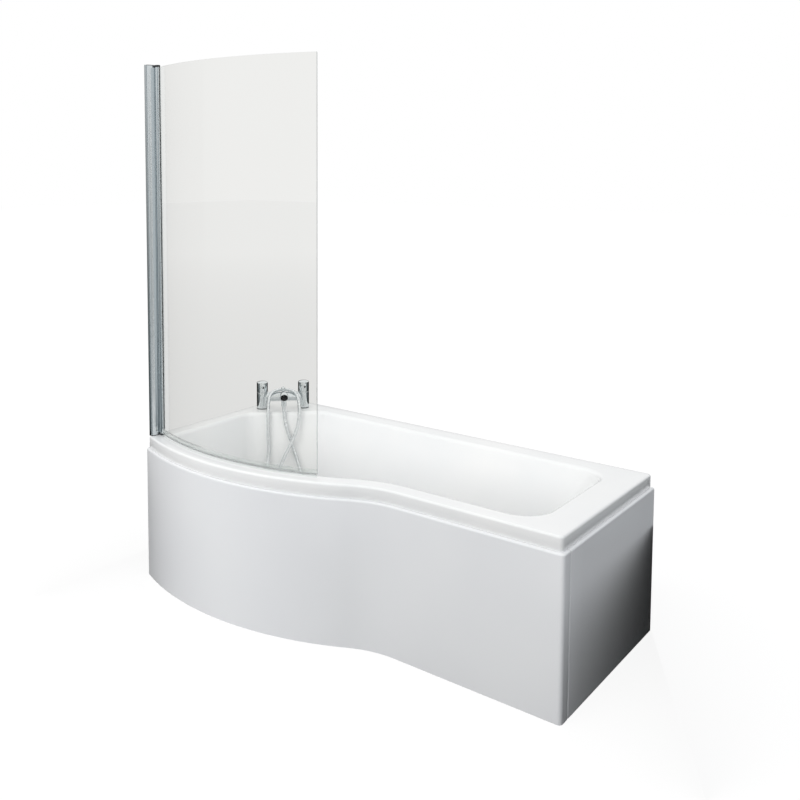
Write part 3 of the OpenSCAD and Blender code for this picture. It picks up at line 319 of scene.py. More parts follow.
looks = {
    # vacuum-formed sheet: a deep white gloss, with the slow ripple that the mould leaves about every 90 mm
    "castAcrylic": {"shader": {"ior": 1.49, "coat": 0.3, "coatRough": 0.06},
                    "patterns": {"cloud": (3.0, 2.0), "polish": (60.0, 4.0),
                                 "ripple": (11.0, 1.0)},
                    "tone": ("cloud", [(0.3, "#F0F1F1"), (0.7, "#F6F6F5")]),
                    "rough": ("polish", 0.3, 0.7, 0.1, 0.17), "relief": ("ripple", 0.05, 0.004)},
    # the same sheet at 3 mm for the panels: a shade greyer and a little wavier, about every 200 mm
    "panelAcrylic": {"shader": {"ior": 1.49, "coat": 0.25, "coatRough": 0.08},
                     "patterns": {"cloud": (2.0, 2.0), "polish": (50.0, 4.0),
                                  "wave": (5.0, 1.0)},
                     "tone": ("cloud", [(0.3, "#EBECEE"), (0.7, "#F0F1F2")]),
                     "rough": ("polish", 0.3, 0.7, 0.15, 0.23), "relief": ("wave", 0.06, 0.006)},
    # bright chromium plate on polished brass: a cool mirror with faint wipe marks about 30 mm long
    "chromePlate": {"shader": {"metal": 1.0},
                    "patterns": {"smear": (35.0, 5.0, (1.0, 1.0, 0.4))},
                    "tone": ("smear", [(0.2, "#D3D8DA"), (0.8, "#DDE1E2")]),
                    "rough": ("smear", 0.35, 0.75, 0.035, 0.09)},
    # plated strip wound into a hose: the turns catch the light and the grooves hold a little grime
    "woundStrip": {"shader": {"metal": 0.9}, "patterns": {"smear": (120.0, 3.0)},
                   "tone": ("smear", [(0.25, "#D6DADC"), (0.75, "#E9ECED")]),
                   "rough": ("smear", 0.3, 0.7, 0.16, 0.3)},
    # bright-dipped extrusion: die lines about 1 mm apart run up its whole length
    "polishedAluminium": {"shader": {"metal": 1.0},
                          "patterns": {"lines": (900.0, 2.0, (1.0, 1.0, 0.0005))},
                          "tone": ("lines", [(0.3, "#CBD1D4"), (0.7, "#DADFE1")]),
                          "rough": ("lines", 0.3, 0.7, 0.1, 0.2), "relief": ("lines", 0.04, 0.0004)},
    # clear float glass, toughened, with the slow roller wave of the furnace; its index is below that of real
    # glass, because the photograph shows the bath hardly darker through it
    "toughenedGlass": {"shader": {"colour": linear("#FFFFFD"), "rough": 0.0, "ior": 1.32, "clear": 1.0},
                       "patterns": {"wave": (1.6, 1.0)}, "relief": ("wave", 0.03, 0.002)},
    # the glass's ground and polished edge, where its depth turns it grey-green
    "groundEdge": {"shader": {"rough": 0.22, "ior": 1.5, "clear": 0.35},
                   "patterns": {"grind": (500.0, 2.0)},
                   "tone": ("grind", [(0.3, "#A9B5B1"), (0.7, "#C3CCC9")])},
    # soft clear PVC strip, a little cloudy from its extrusion
    "clearVinyl": {"shader": {"rough": 0.02, "ior": 1.15, "clear": 0.97},
                   "patterns": {"cloud": (70.0, 3.0)},
                   "tone": ("cloud", [(0.3, "#F2F4F3"), (0.7, "#F9FAFA")])},
    # bright zinc on pressed steel: a cloudy spangle about 8 mm across
    "zincPlate": {"shader": {"metal": 1.0},
                  "patterns": {"spangle": {"kind": "Voronoi", "from": "Color", "Scale": 125.0},
                               "smear": (45.0, 4.0)},
                  "tone": ("spangle", [(0.2, "#9DA3A6"), (0.8, "#C3C8CA")]),
                  "rough": ("smear", 0.3, 0.7, 0.28, 0.45)},
    # machined brass: tool rings about 1.4 mm apart, dulled in patches
    "turnedBrass": {"shader": {"metal": 1.0, "rough": 0.25},
                    "patterns": {"rings": (700.0, 2.0, (0.02, 0.02, 1.0)),
                                 "dull": (50.0, 3.0)},
                    "tone": ("dull", [(0.3, "#B08D4A"), (0.7, "#D2B06A")]),
                    "relief": ("rings", 0.12, 0.0004)},
    # moisture-resistant chipboard: flakes about 6 mm across in three tones
    "chipboard": {"shader": {"rough": 0.75},
                  "patterns": {"flakes": {"kind": "Voronoi", "from": "Color", "Scale": 165.0},
                               "edges": {"kind": "Voronoi", "from": "Distance", "Scale": 165.0}},
                  "tone": ("flakes", [(0.2, "#9C7C4F"), (0.5, "#C3A26F"), (0.85, "#D9BE8D")]),
                  "relief": ("edges", 0.3, 0.0006)},
    # planed softwood: growth rings about 3 mm apart, bent by slow waves
    "planedPine": {"shader": {"rough": 0.62},
                   "patterns": {"grain": {"kind": "Wave", "Scale": 55.0, "Distortion": 5.0, "Detail": 3.0,
                                          "bands_direction": "Z"}},
                   "tone": ("grain", [(0.2, "#D9B582"), (0.8, "#C1935A")]),
                   "relief": ("grain", 0.15, 0.0005)},
    "nitrileRubber": moulded("#232527", "#303335", 0.62),
    "greySilicone": moulded("#4A4E51", "#5A5F62", 0.5),
    "blackEnamel": moulded("#030304", "#070808", 0.4, 90.0, 0.02, 1.12),  # nearly without gloss
    "darkAcetal": moulded("#202325", "#2C3032", 0.4),
    "whitePolypropylene": moulded("#DFDFDB", "#ECECE8", 0.38),
}
finish = {name: makeFinish(name, look) for name, look in looks.items()}
chrome = finish["chromePlate"]
print("finishes made")

# Shower hose: plated strip wound over a tube, hung over the mixer and looped just above the bath's floor
mixer = {"x": 122.0, "y": 555.0, "deck": 555.0, "centres": 180.0, "pillar": 48.0, "top": 120.0,
         "handleLow": 72.3, "cross": 40.0, "crossZ": 50.0, "spout": 36.0, "rise": 14.0, "drop": 22.0,
         "straight": 98.0, "bend": 20.0, "nose": 6.0, "knobOut": 20.0, "knob": 18.0, "knobTall": 24.0,
         "outlet": 86.0, "nutLow": 28.0, "nutTall": 16.0, "nut": 23.0}
across = Vector((sqrt(0.5), sqrt(0.5), 0))
forward = Vector((sqrt(0.5), -sqrt(0.5), 0))
upward = Vector((0, 0, 1))


def atMixer(a, d, h):
    # a to the right, d out from the mixer's line, h above the deck
    return place(mixer["x"], mixer["y"], mixer["deck"]) + (a * across + d * forward + h * upward) / 1000


hose = {"diameter": 14.0, "pitch": 4.2, "groove": 0.7,
        "route": [(0, 86, 28), (0, 86, 8), (4, 91, -34), (15, 99, -78), (29, 104.5, -120), (43, 112, -163),
                  (57, 122, -209), (70, 133, -254), (81, 148, -298), (85, 170, -339), (74, 195, -367),
                  (46, 214, -386), (11, 216, -389.5), (-21, 202, -375), (-39, 178, -344), (-38, 162, -298),
                  (-29, 153, -252), (-15, 145, -209), (3, 137, -170), (23, 128, -134), (43, 116.5, -95),
                  (58, 105, -52), (65.5, 95, -8), (66, 75, 27), (61, 47.5, 57.5), (48.5, 23.5, 73.5),
                  (26, 4.5, 79), (0, -2, 79.8), (-26, 4.5, 79), (-48.5, 23.5, 73.5), (-61, 47.5, 57.5),
                  (-66, 75, 27), (-69, 95, -10), (-69, 102, -55), (-67, 106, -105), (-66, 112, -160),
                  (-73, 131, -205)]}


def smoothRoute(points, steps):
    # a Catmull-Rom curve through the points
    out = []
    for i in range(len(points) - 1):
        a, b, c, d = (points[max(i - 1, 0)], points[i], points[i + 1], points[min(i + 2, len(points) - 1)])
        for k in range(steps):
            t = k / steps
            out.append(0.5 * ((2 * b) + (c - a) * t + (2 * a - 5 * b + 4 * c - d) * t * t
                              + (3 * b - a - 3 * c + d) * t ** 3))
    return out + [points[-1]]


def evenly(points, gap):
    out, left = [points[0]], gap
    for a, b in zip(points, points[1:]):
        run = (b - a).length
        while run >= left:
            a = a + (b - a) * (left / run)
            run -= left
            out.append(a)
            left = gap
        left -= run
    if (out[-1] - points[-1]).length > gap * 0.3:
        out.append(points[-1])
    else:
        out[-1] = points[-1]
    return out


def makeHose():
    centre = smoothRoute([atMixer(*p) for p in hose["route"]], 8)
    quarter = hose["pitch"] / 4000
    path = evenly(centre, quarter)
    full = hose["diameter"] / 2000
    radii = [full - hose["groove"] / 1000 * (0.0, 0.25, 1.0, 0.25)[i % 4] for i in range(len(path))]
    radii[0] = radii[-1] = full
    piece = sweep("hoseWinding", path, radii, finish["woundStrip"], 20, 80)
    length = sum((b - a).length for a, b in zip(centre, centre[1:]))
    print("hose length", round(length, 3))
    ridesOn(piece, "bath", "hose_metal", "shower_hose")
    return piece, centre, length


hosePiece, hoseLine, hoseLength = makeHose()

# Bath moulding: the same rings as the solid, with many more points
bath = {"length": 1700.0, "width": 700.0, "rim": 555.0, "bulge": 176.0, "bulgeRadius": 1105.0,
        "bulgeX": 430.0, "blend": 350.0, "skirt": 46.0, "wall": 5.0, "front": 75.0, "back": 88.0,
        "left": 70.0, "right": 120.0, "depth": 400.0, "lean": 45.0, "restLean": 180.0, "bowl": 70.0,
        "roll": 16.0, "edge": 8.0, "tapDeck": 80.0, "cornerFront": 80.0, "cornerFoot": 105.0,
        "cornerTap": 70.0, "along": 150, "around": 12}
bulgeY = bath["bulgeRadius"] - bath["bulge"]
blendX = bath["bulgeX"] + sqrt((bath["bulgeRadius"] + bath["blend"]) ** 2 - (bulgeY + bath["blend"]) ** 2)


def frontY(x, d):
    share = (bath["bulgeRadius"] - d) / (bath["bulgeRadius"] + bath["blend"])
    if x < bath["bulgeX"] + (blendX - bath["bulgeX"]) * share:
        return bulgeY - sqrt((bath["bulgeRadius"] - d) ** 2 - (x - bath["bulgeX"]) ** 2)
    if x < blendX:
        return -bath["blend"] + sqrt((bath["blend"] + d) ** 2 - (x - blendX) ** 2)
    return d


def roundCorner(a, p, b, r, n):
    a, p, b = Vector(a), Vector(p), Vector(b)
    u, v = (a - p).normalized(), (b - p).normalized()
    half = acos(max(-1, min(1, u.dot(v)))) / 2
    c = p + (u + v).normalized() * r / sin(half)
    s, e = p + u * r / tan(half) - c, p + v * r / tan(half) - c
    start, turn = atan2(s.y, s.x), atan2(s.x * e.y - s.y * e.x, s.dot(e))
    return [(c.x + r * cos(start + turn * i / n), c.y + r * sin(start + turn * i / n)) for i in range(n + 1)]


def bathRing(front, back, left, right, tap, rFront, rFoot, rTap, z):
    xl, xr, yb = left, bath["length"] - right, bath["width"] - back
    lead = max(rFront, rFoot) + 10
    cut = tap * sqrt(2)
    fl, fr, br = (xl, frontY(xl, front)), (xr, frontY(xr, front)), (xr, yb)
    c1, c2 = (cut - back, yb), (xl, xl + bath["width"] - cut)
    n = bath["along"]
    line = [(xl + lead + (xr - xl - 2 * lead) * i / n, 0) for i in range(n + 1)]
    line = [(x, frontY(x, front)) for x, _ in line]
    m = bath["around"]
    flat = (roundCorner(c2, fl, line[0], rFront, m) + line + roundCorner(line[n], fr, br, rFoot, m)
            + roundCorner(fr, br, c1, rFoot, m) + roundCorner(br, c1, c2, rTap, m)
            + roundCorner(c1, c2, fl, rTap, m))
    return [place(x, y, z) for x, y in flat]


tapCorner = (mixer["x"] + bath["width"] - mixer["y"]) / sqrt(2)


def basinRing(e, share, z):
    lean = share * bath["lean"]
    return bathRing(bath["front"] + e + lean, bath["back"] + e + lean, bath["left"] + e + lean,
                    bath["right"] + e + share * bath["restLean"], tapCorner + bath["tapDeck"] + e + lean,
                    bath["cornerFront"] - 0.4 * e, bath["cornerFoot"] - 0.4 * e,
                    bath["cornerTap"] - 0.4 * e, z)


def rimRing(d, z):
    return bathRing(d, d, d, d, d * sqrt(2) + 5, 14 - d, 14 - d, 8, z)


floorZ = bath["rim"] - bath["depth"]
wallLow, wallHigh = floorZ + bath["bowl"], bath["rim"] - bath["roll"]


def quarter(steps):
    return [radians(90 * i / steps) for i in range(steps + 1)]


def makeBath():
    # from the middle of the basin's floor up to the rim, over it, and back down the underside
    bowl, roll, edge, wall, rim = (bath[key] for key in ("bowl", "roll", "edge", "wall", "rim"))
    rings = [basinRing(bowl * (1 - cos(a)), 1, wallLow - bowl * sin(a)) for a in quarter(14)[::-1]]
    rings += [basinRing(0, 1 - i / 9, wallLow + (wallHigh - wallLow) * i / 9) for i in range(1, 9)]
    rings += [basinRing(roll * (sin(a) - 1), 0, wallHigh + roll * cos(a)) for a in quarter(10)[::-1]]
    rings += [rimRing(edge * (1 - sin(a)), rim - edge * (1 - cos(a))) for a in quarter(7)]
    low = rim - bath["skirt"]
    rings += [rimRing(d, z) for d, z in ((0, low + 2), (1, low), (wall - 1, low), (wall, low + 2),
                                         (wall, rim - wall))]
    under = roll - wall
    rings += [basinRing(under * sin(a) - roll, 0, wallHigh + under * cos(a)) for a in quarter(6)]
    under = bowl + wall
    rings += [basinRing(bowl - under * cos(a), 1, wallLow - under * sin(a)) for a in quarter(10)]
    return outward(ringPiece("bathMoulding", rings, finish["castAcrylic"], 50))


waste = {"x": 330.0, "y": 230.0, "flange": 70.0, "hole": 51.0}
overflow = {"y": 100.0, "down": 145.0, "face": 70.0, "hole": 46.0}
overflowZ = bath["rim"] - overflow["down"]
overflowX = bath["left"] + bath["lean"] * (wallHigh - overflowZ) / (wallHigh - wallLow)
overflowTilt = atan(bath["lean"] / (wallHigh - wallLow))
wasteAt = place(waste["x"], waste["y"], floorZ)
overflowAt = place(overflowX, overflow["y"], overflowZ)
overflowAxis = Vector((cos(overflowTilt), 0, sin(overflowTilt)))


def dressBath():
    piece = makeBath()
    for part, reach, at, axis in ((waste, 20, wasteAt, upward), (overflow, 30, overflowAt, overflowAxis)):
        r = part["hole"] / 2
        cutBy(piece, lathe("hole", [(0, -reach), (r, -reach), (r, reach), (0, reach)], finish["castAcrylic"],
                           frameOf(at, axis)))
    shadeByAngle(piece, 50)
    ridesOn(piece, "bath", "acrylic", "bath_shell")


dressBath()
print("bath moulded")

# Panels: a folded lip along the top, swept round the front and down the foot end
panel = {"proud": 10.0, "thick": 3.0, "top": 508.7, "round": 8.0, "lip": 12.0, "return": 36.0, "joint": 2.0,
         "jointRound": 4.0, "steps": 160}


def panelSection(pull=0.0):
    r, t, top, out = panel["round"], panel["thick"], panel["top"], pull - panel["proud"]
    centre = (out + r, top - r)
    return ([(out, 0.0)] + arcPoints(centre, r, 180, 90, 9) + [(panel["lip"], top), (panel["lip"], top - t)]
            + arcPoints(centre, r - t, 90, 180, 6) + [(out + t, 0.0)])


def panelRing(y, share):
    # a cut across the sheet at the foot end, drawn in where the edge beside the joint is rounded
    pull = panel["jointRound"] * (1 - share)
    return [place(bath["length"] - d, y, z) for d, z in panelSection(pull)]


def makeFrontPanel():
    xEnd = bath["length"] - 40
    lines = []
    for d, z in panelSection():
        line = [(xEnd * i / panel["steps"], 0) for i in range(panel["steps"] + 1)]
        line = [(x, frontY(x, d)) for x, _ in line]
        edge = bath["length"] - d
        line += roundCorner(line[-1], (edge, d), (edge, bath["width"]), max(1, 3 - d), 8)
        lines.append([place(x, y, z) for x, y in line + [(edge, panel["return"] - panel["jointRound"])]])
    rings = [[line[k] for line in lines] for k in range(len(lines[0]))]
    rings += [panelRing(panel["return"] - panel["jointRound"] * (1 - sin(radians(a))), cos(radians(a)))
              for a in range(15, 91, 15)]
    sheet = outward(ringPiece("frontPanelSheet", rings, finish["panelAcrylic"], 35))
    ridesOn(sheet, "bath", "acrylic", "front_panel")


def makeEndPanel():
    edge = panel["jointRound"]
    full = panel["return"] + panel["joint"] + edge
    rings = [panelRing(full - edge * sin(radians(a)), cos(radians(a))) for a in range(90, 14, -15)]
    rings += [panelRing(full + (bath["width"] - full) * k / 8, 1.0) for k in range(9)]
    sheet = outward(ringPiece("endPanelSheet", rings, finish["panelAcrylic"], 35))
    ridesOn(sheet, "bath", "acrylic", "end_panel")


makeFrontPanel()
makeEndPanel()
print("panels made")

# Mixer


def standing(a, d, h=0.0):
    return frameOf(atMixer(a, d, h), (0, 0, 1), across)


def makePillar(side):
    r = mixer["pillar"] / 2
    outline = [(0, 2.2), (r - 3, 2.2), (r - 3, 3.4), (r, 3.4), (r, 70.2)]
    outline += arcPoints((r - 1.2, 70.4), 1.2, 30, 90, 2) + [(0, 71.6)]
    return lathe("pillar", outline, chrome, standing(side * mixer["centres"] / 2, 0), 96)


def makeMixerBody():
    pillars = [makePillar(side) for side in (-1, 1)]
    r = mixer["cross"] / 2
    half = mixer["centres"] / 2
    turn = frameOf(atMixer(0, 0, mixer["crossZ"]), across, (0, 0, 1))
    bar = lathe("crossTube", [(0, -half), (r, -half), (r, half), (0, half)], chrome, turn, 96)
    rise = radians(mixer["rise"])
    into = cos(rise) * forward + sin(rise) * upward
    port = mixer["spout"] / 2 - 2.4
    cutBy(bar, lathe("spoutPort", [(0, 4), (port, 4), (port, 34), (0, 34)], chrome,
                     frameOf(atMixer(0, 0, mixer["crossZ"]), into, across), 48))
    ridesOn(joined("mixerBody", pillars + [bar], 35), "bath", "chrome", "tap_body")


def handleOutline():
    r, low, top = mixer["pillar"] / 2 - 0.1, mixer["handleLow"], mixer["top"]
    sphere = 60.0
    crown = [(r - x, top - sphere + sqrt(sphere ** 2 - (r - x) ** 2)) for x in (2.2, 4.5, 8, 12, 17)]
    shoulder = crown[0][1]
    edge = [(r - 2.2 + 2.2 * cos(radians(a)), shoulder - 2.4 + 2.2 * sin(radians(a)))
            for a in (0, 22, 45, 67)]
    return [(0, low), (r - 0.8, low), (r, low + 0.8)] + edge + crown + [(0, top)]


def makeHandle(side, body, node, index):
    stand = standing(side * mixer["centres"] / 2, 0)
    handle = lathe(node.replace("_", "") + "Cap", handleOutline(), chrome, stand, 96)
    ridesOn(handle, body, "chrome", node)
    turned = radians(10)
    out = sin(turned) * across + cos(turned) * forward
    centre = atMixer(side * mixer["centres"] / 2, 0, 95) + out * (mixer["pillar"] / 2 - 1.3) / 1000
    dot = lathe(index.replace("_", "") + "Dot", [(0, 0), (4.3, 0), (4.3, 1.0), (3.9, 1.4), (0, 1.55)],
                finish["blackEnamel"], frameOf(centre, out), 40)
    ridesOn(dot, body, "black_plastic", index)


def spoutLine():
    rise, drop = radians(mixer["rise"]), radians(mixer["drop"])
    straight = mixer["straight"]
    end = (straight * cos(rise), mixer["crossZ"] + straight * sin(rise))
    centre = (end[0] + mixer["bend"] * sin(rise), end[1] - mixer["bend"] * cos(rise))
    line = [(s * cos(rise), mixer["crossZ"] + s * sin(rise)) for s in (12, 30, 50, 70, 86)]
    line += arcPoints(centre, mixer["bend"], 90 + mixer["rise"], 90 - mixer["drop"], 10)
    mouth = (line[-1][0] + mixer["nose"] * cos(drop), line[-1][1] - mixer["nose"] * sin(drop))
    return line, mouth, (cos(drop), -sin(drop))


def makeSpout():
    line, mouth, way = spoutLine()
    r = mixer["spout"] / 2
    points = [atMixer(0, d, h) for d, h in line]
    radii = [r / 1000] * len(points)
    ahead = way[0] * forward + way[1] * upward
    last = atMixer(0, *mouth)
    for back, inset in ((1.6, 0), (0.8, 0.25), (0.25, 0.8), (0.0, 1.6), (0.0, 1.9), (0.6, 2.1), (5.0, 2.1)):
        points.append(last - ahead * back / 1000)
        radii.append((r - inset) / 1000)
    rings = []
    for i, p in enumerate(points):
        t = ahead if i > 14 else (points[i + 1] - points[max(i - 1, 0)]).normalized()
        up = across.cross(t).normalized()
        rings.append([p + radii[i] * (cos(2 * pi * k / 96) * across + sin(2 * pi * k / 96) * up)
                      for k in range(96)])
    spout = outward(ringPiece("spoutTube", rings, chrome, 35))
    ridesOn(spout, "bath", "chrome", "spout")
    turn = frameOf(last - ahead * 2.2 / 1000, ahead, across)
    disc = [(0, -2), (r - 2.2, -2), (r - 2.2, 1.2), (r - 2.6, 1.8), (r - 3.8, 1.8), (r - 4.2, 0.2), (0, 0.0)]
    face = lathe("aeratorFace", disc, finish["blackEnamel"], turn, 64)
    ribs = repeated("aeratorRibs", [turn @ Vector((x / 1000, y / 1000, 0.0003)) for x, y in ribPlaces(r - 6)],
                    ahead, 0.55, 0.9, finish["blackEnamel"])
    ridesOn(joined("aeratorInsert", [face, ribs], 35), "bath", "black_plastic", "aerator")


def ribPlaces(limit):
    gap = 2.4
    n = int(limit / gap)
    spots = [(gap * i + (gap / 2 if j % 2 else 0), gap * 0.87 * j)
             for i in range(-n, n + 1) for j in range(-n, n + 1)]
    return [(x, y) for x, y in spots if hypot(x, y) < limit]


def repeated(name, places, axis, radius, height, material):
    # Geometry Nodes: a small stud stands on every point, turned to the axis
    mesh = bpy.data.meshes.new(name)
    mesh.from_pydata([tuple(p) for p in places], [], [])
    piece = bpy.data.objects.new(name, mesh)
    scene.collection.objects.link(piece)
    tree = bpy.data.node_groups.new(name + "Tree", "GeometryNodeTree")
    tree.interface.new_socket("Geometry", in_out="INPUT", socket_type="NodeSocketGeometry")
    radiusSocket = tree.interface.new_socket("Stud radius", in_out="INPUT", socket_type="NodeSocketFloat")
    heightSocket = tree.interface.new_socket("Stud height", in_out="INPUT", socket_type="NodeSocketFloat")
    tree.interface.new_socket("Geometry", in_out="OUTPUT", socket_type="NodeSocketGeometry")
    start = addNode(tree, "NodeGroupInput")
    stud = addNode(tree, "GeometryNodeMeshCone", {"Vertices": 12, "Side Segments": 2},
                   {"Radius Bottom": start.outputs["Stud radius"], "Depth": start.outputs["Stud height"]})
    narrow = addNode(tree, "ShaderNodeMath", {"operation": "MULTIPLY", 1: 0.6},
                     {0: start.outputs["Stud radius"]})
    tree.links.new(narrow.outputs[0], stud.inputs["Radius Top"])
    turn = addNode(tree, "FunctionNodeAlignRotationToVector", {"axis": "Z", "Vector": axis})
    studs = addNode(tree, "GeometryNodeInstanceOnPoints", links={
        "Points": start.outputs["Geometry"], "Instance": stud, "Rotation": turn})
    real = addNode(tree, "GeometryNodeRealizeInstances", links={"Geometry": studs})
    dressed = addNode(tree, "GeometryNodeSetMaterial", {"Material": material}, {"Geometry": real})
    addNode(tree, "NodeGroupOutput", links={"Geometry": dressed})
    modifier = piece.modifiers.new("studs", "NODES")
    modifier.node_group = tree
    modifier[radiusSocket.identifier] = radius / 1000
    modifier[heightSocket.identifier] = height / 1000
    applied(piece)
    return piece


def makeDiverter():
    r, tall = mixer["knob"] / 2, mixer["knobTall"]
    rise = radians(mixer["rise"])
    low = mixer["crossZ"] + mixer["knobOut"] * tan(rise) + mixer["spout"] / 2 / cos(rise) + 0.6
    outline = [(0, -14), (3, -14)]
    outline += [(r * cos(radians(a)), r + r * sin(radians(a))) for a in (-70, -50, -30, -15, 0)]
    outline += arcPoints((0, tall - r), r, 0, 75, 5)
    knob = lathe("diverterCapsule", outline + [(0, tall)], chrome,
                 standing(0, mixer["knobOut"], low), 64, 50)
    ridesOn(knob, "diverter", "chrome", "diverter_knob")


def gripNut(name, centre, axis, low, high, tall, rings):
    # a round union nut with turned grooves
    outline = [(0, 0), (low - 0.8, 0), (low, 0.8)]
    for k in range(rings):
        h = tall * (k + 1) / (rings + 1)
        r = low + (high - low) * h / tall
        outline += [(r, h - 0.9), (r - 0.5, h - 0.3), (r - 0.5, h + 0.3), (r, h + 0.9)]
    outline += [(high, tall - 0.8), (high - 0.8, tall), (0, tall)]
    return lathe(name, outline, chrome, frameOf(centre, axis), 72)


def makeOutlet():
    spoutLow = mixer["crossZ"] + mixer["outlet"] * tan(radians(mixer["rise"])) - mixer["spout"] / 2 + 4
    nutTop = mixer["nutLow"] + mixer["nutTall"]
    outline = [(0, nutTop - 4), (9.4, nutTop - 4), (9.4, nutTop + 1), (10.4, nutTop + 2.2), (10.4, spoutLow),
               (0, spoutLow)]
    boss = lathe("outletBoss", outline, chrome, standing(0, mixer["outlet"]), 64)
    ridesOn(boss, "bath", "chrome", "shower_outlet")
    nut = gripNut("hoseUnionNut", atMixer(0, mixer["outlet"], mixer["nutLow"]), (0, 0, 1),
                  mixer["nut"] / 2 - 0.5, mixer["nut"] / 2, mixer["nutTall"], 2)
    ridesOn(nut, "bath", "chrome", "outlet_nut")


handset = {"tilt": 24.0, "lean": 8.0, "nut": 22.0, "length": 153.0, "head": 62.0, "face": 50.0, "bow": 2.2,
           "grip": [(0.0, 10.0), (12.0, 10.2), (45.0, 11.4), (85.0, 12.0), (118.0, 11.6), (132.0, 9.6),
                    (142.0, 8.4), (158.0, 7.8)],
           "back": [(0, -15.6), (9, -15.4), (16, -14.2), (22, -11.6), (27, -6.8), (30, -3.2)],
           "jets": [(5, 6), (10, 12), (15, 18), (20, 24)]}


def makeHandset():
    start = atMixer(*hose["route"][-1])
    tilt, lean = radians(handset["tilt"]), radians(handset["lean"])
    leant = cos(lean) * upward + sin(lean) * across
    way = sin(tilt) * forward - cos(tilt) * leant
    out = cos(tilt) * forward + sin(tilt) * leant  # the way that the spray faces
    nut = gripNut("handsetUnionNut", start, way, 8.5, 11.5, handset["nut"], 2)
    ridesOn(nut, "bath", "chrome", "handset_nut")
    head = start + way * (handset["nut"] + handset["length"]) / 1000
    turn = frameOf(head, out)
    r, half = handset["head"] / 2, handset["face"] / 2
    grip = handset["grip"]
    line = [start + (way * (handset["nut"] + s) - out * handset["bow"] * (1 - cos(2 * pi * s / grip[-1][0])))
            / 1000 for s, _ in grip]
    fine = smoothRoute(line, 6)
    radii = []
    for i in range(len(grip) - 1):
        radii += [(grip[i][1] + (grip[i + 1][1] - grip[i][1]) * k / 6) / 1000 for k in range(6)]
    radii.append(grip[-1][1] / 1000)
    handle = sweep("grip", fine, radii, chrome, 48)
    rim = [(r - 0.2, -0.8), (r - 0.2, 0.6), (r - 0.9, 2.2), (r - 2, 2.8)]
    rim += [(half + 0.4, 2.8), (half + 0.2, 1.8)]
    dish = lathe("dish", handset["back"] + rim + [(0, 1.8)], chrome, turn, 96)
    ridesOn(joined("handsetShell", [handle, dish], 35), "bath", "chrome", "handset")
    plate = [(0, 1.7), (half - 0.2, 1.7), (half - 0.3, 2.7), (half - 1.4, 3.1), (0, 3.1)]
    face = lathe("sprayPlate", plate, finish["greySilicone"], turn, 72)
    spots = [(radius * cos(2 * pi * k / count), radius * sin(2 * pi * k / count))
             for radius, count in handset["jets"] for k in range(count)]
    jets = repeated("jets", [turn @ Vector((x / 1000, y / 1000, 0.0034)) for x, y in spots], out,
                    0.8, 1.2, finish["nitrileRubber"])
    ridesOn(joined("sprayFace", [face, jets], 35), "bath", "rubber", "spray_face")


makeMixerBody()
makeHandle(-1, "hot_control", "hot_handle", "hot_index")
makeHandle(1, "cold_control", "cold_handle", "cold_index")
makeSpout()
makeDiverter()
makeOutlet()
makeHandset()
print("mixer made")

# Waste and overflow


def makeWaste():
    turn = frameOf(wasteAt, (0, 0, 1))
    r = waste["flange"] / 2
    flange = [(21.2, -44), (24, -44), (24, 1.9), (r - 1, 1.9), (r, 2.6), (r - 0.6, 3.9), (r - 4, 4.6),
              (24, 4.6), (22, 4.0), (21.2, 2.5), (21.2, -44)]
    ridesOn(lathe("wasteRing", flange, chrome, turn, 96), "bath", "chrome", "waste_flange")
    plug = [(0, -40), (3.9, -40), (3.9, 6.6), (20, 6.6), (26.6, 6.8), (27.4, 7.6), (26.8, 8.6), (22, 10.4),
            (14, 11.9), (7, 12.6), (0, 12.8)]
    ridesOn(lathe("plugCap", plug, chrome, turn, 96), "plug", "chrome", "waste_plug")


def makeOverflow():
    turn = frameOf(overflowAt, overflowAxis, (0, 1, 0))
    r = overflow["face"] / 2
    rose = [(0, -6), (6, -6), (6, 0.1), (r - 1, 0.1), (r, 1.0), (r - 0.4, 3.4), (r - 2.6, 5.2), (r - 6, 5.9),
            (0, 6.0)]
    face = lathe("overflowRose", rose, chrome, turn, 96)
    for k in range(6):
        spot = turn @ Vector((r / 2000 * cos(pi * k / 3), r / 2000 * sin(pi * k / 3), 0))
        cutBy(face, lathe("slot", [(0, -10), (4.5, -10), (4.5, 12), (0, 12)], chrome,
                          frameOf(spot, overflowAxis), 40))
    bevelled(face, 0.5, 2)
    ridesOn(face, "bath", "chrome", "overflow_face")


makeWaste()
makeOverflow()
print("waste and overflow made")

# Screen
screen = {"inset": 47.0, "glass": 6.0, "end": 827.0, "lift": 14.0, "height": 1435.0, "hingeX": 34.0,
          "barrel": 20.0, "channelWide": 48.0, "channelDeep": 12.0, "pivot": 8.3, "clampX": 56.0,
          "gasket": 0.8, "clamp": 2.7}
glassR = bath["bulgeRadius"] - screen["inset"]
glassMid = glassR - screen["glass"] / 2
hingeY = bulgeY - sqrt(glassMid ** 2 - (screen["hingeX"] - bath["bulgeX"]) ** 2)
screenTop = bath["rim"] + screen["height"]
barrelLow, barrelTop = bath["rim"] + screen["pivot"], screenTop - screen["pivot"]
glassLow = bath["rim"] + screen["lift"]
clampLow, clampTop = glassLow + 14, barrelTop - 0.5


def bandAngle(x):
    return asin((x - bath["bulgeX"]) / glassMid)


def bandPoint(radius, angle):
    return bath["bulgeX"] + radius * sin(angle), bulgeY - radius * cos(angle)


def bandOutline(inner, outer, x0, x1, steps):
    a0, a1 = bandAngle(x0), bandAngle(x1)
    line = [a0 + (a1 - a0) * k / steps for k in range(steps + 1)]
    return [bandPoint(outer, a) for a in line] + [bandPoint(inner, a) for a in reversed(line)]


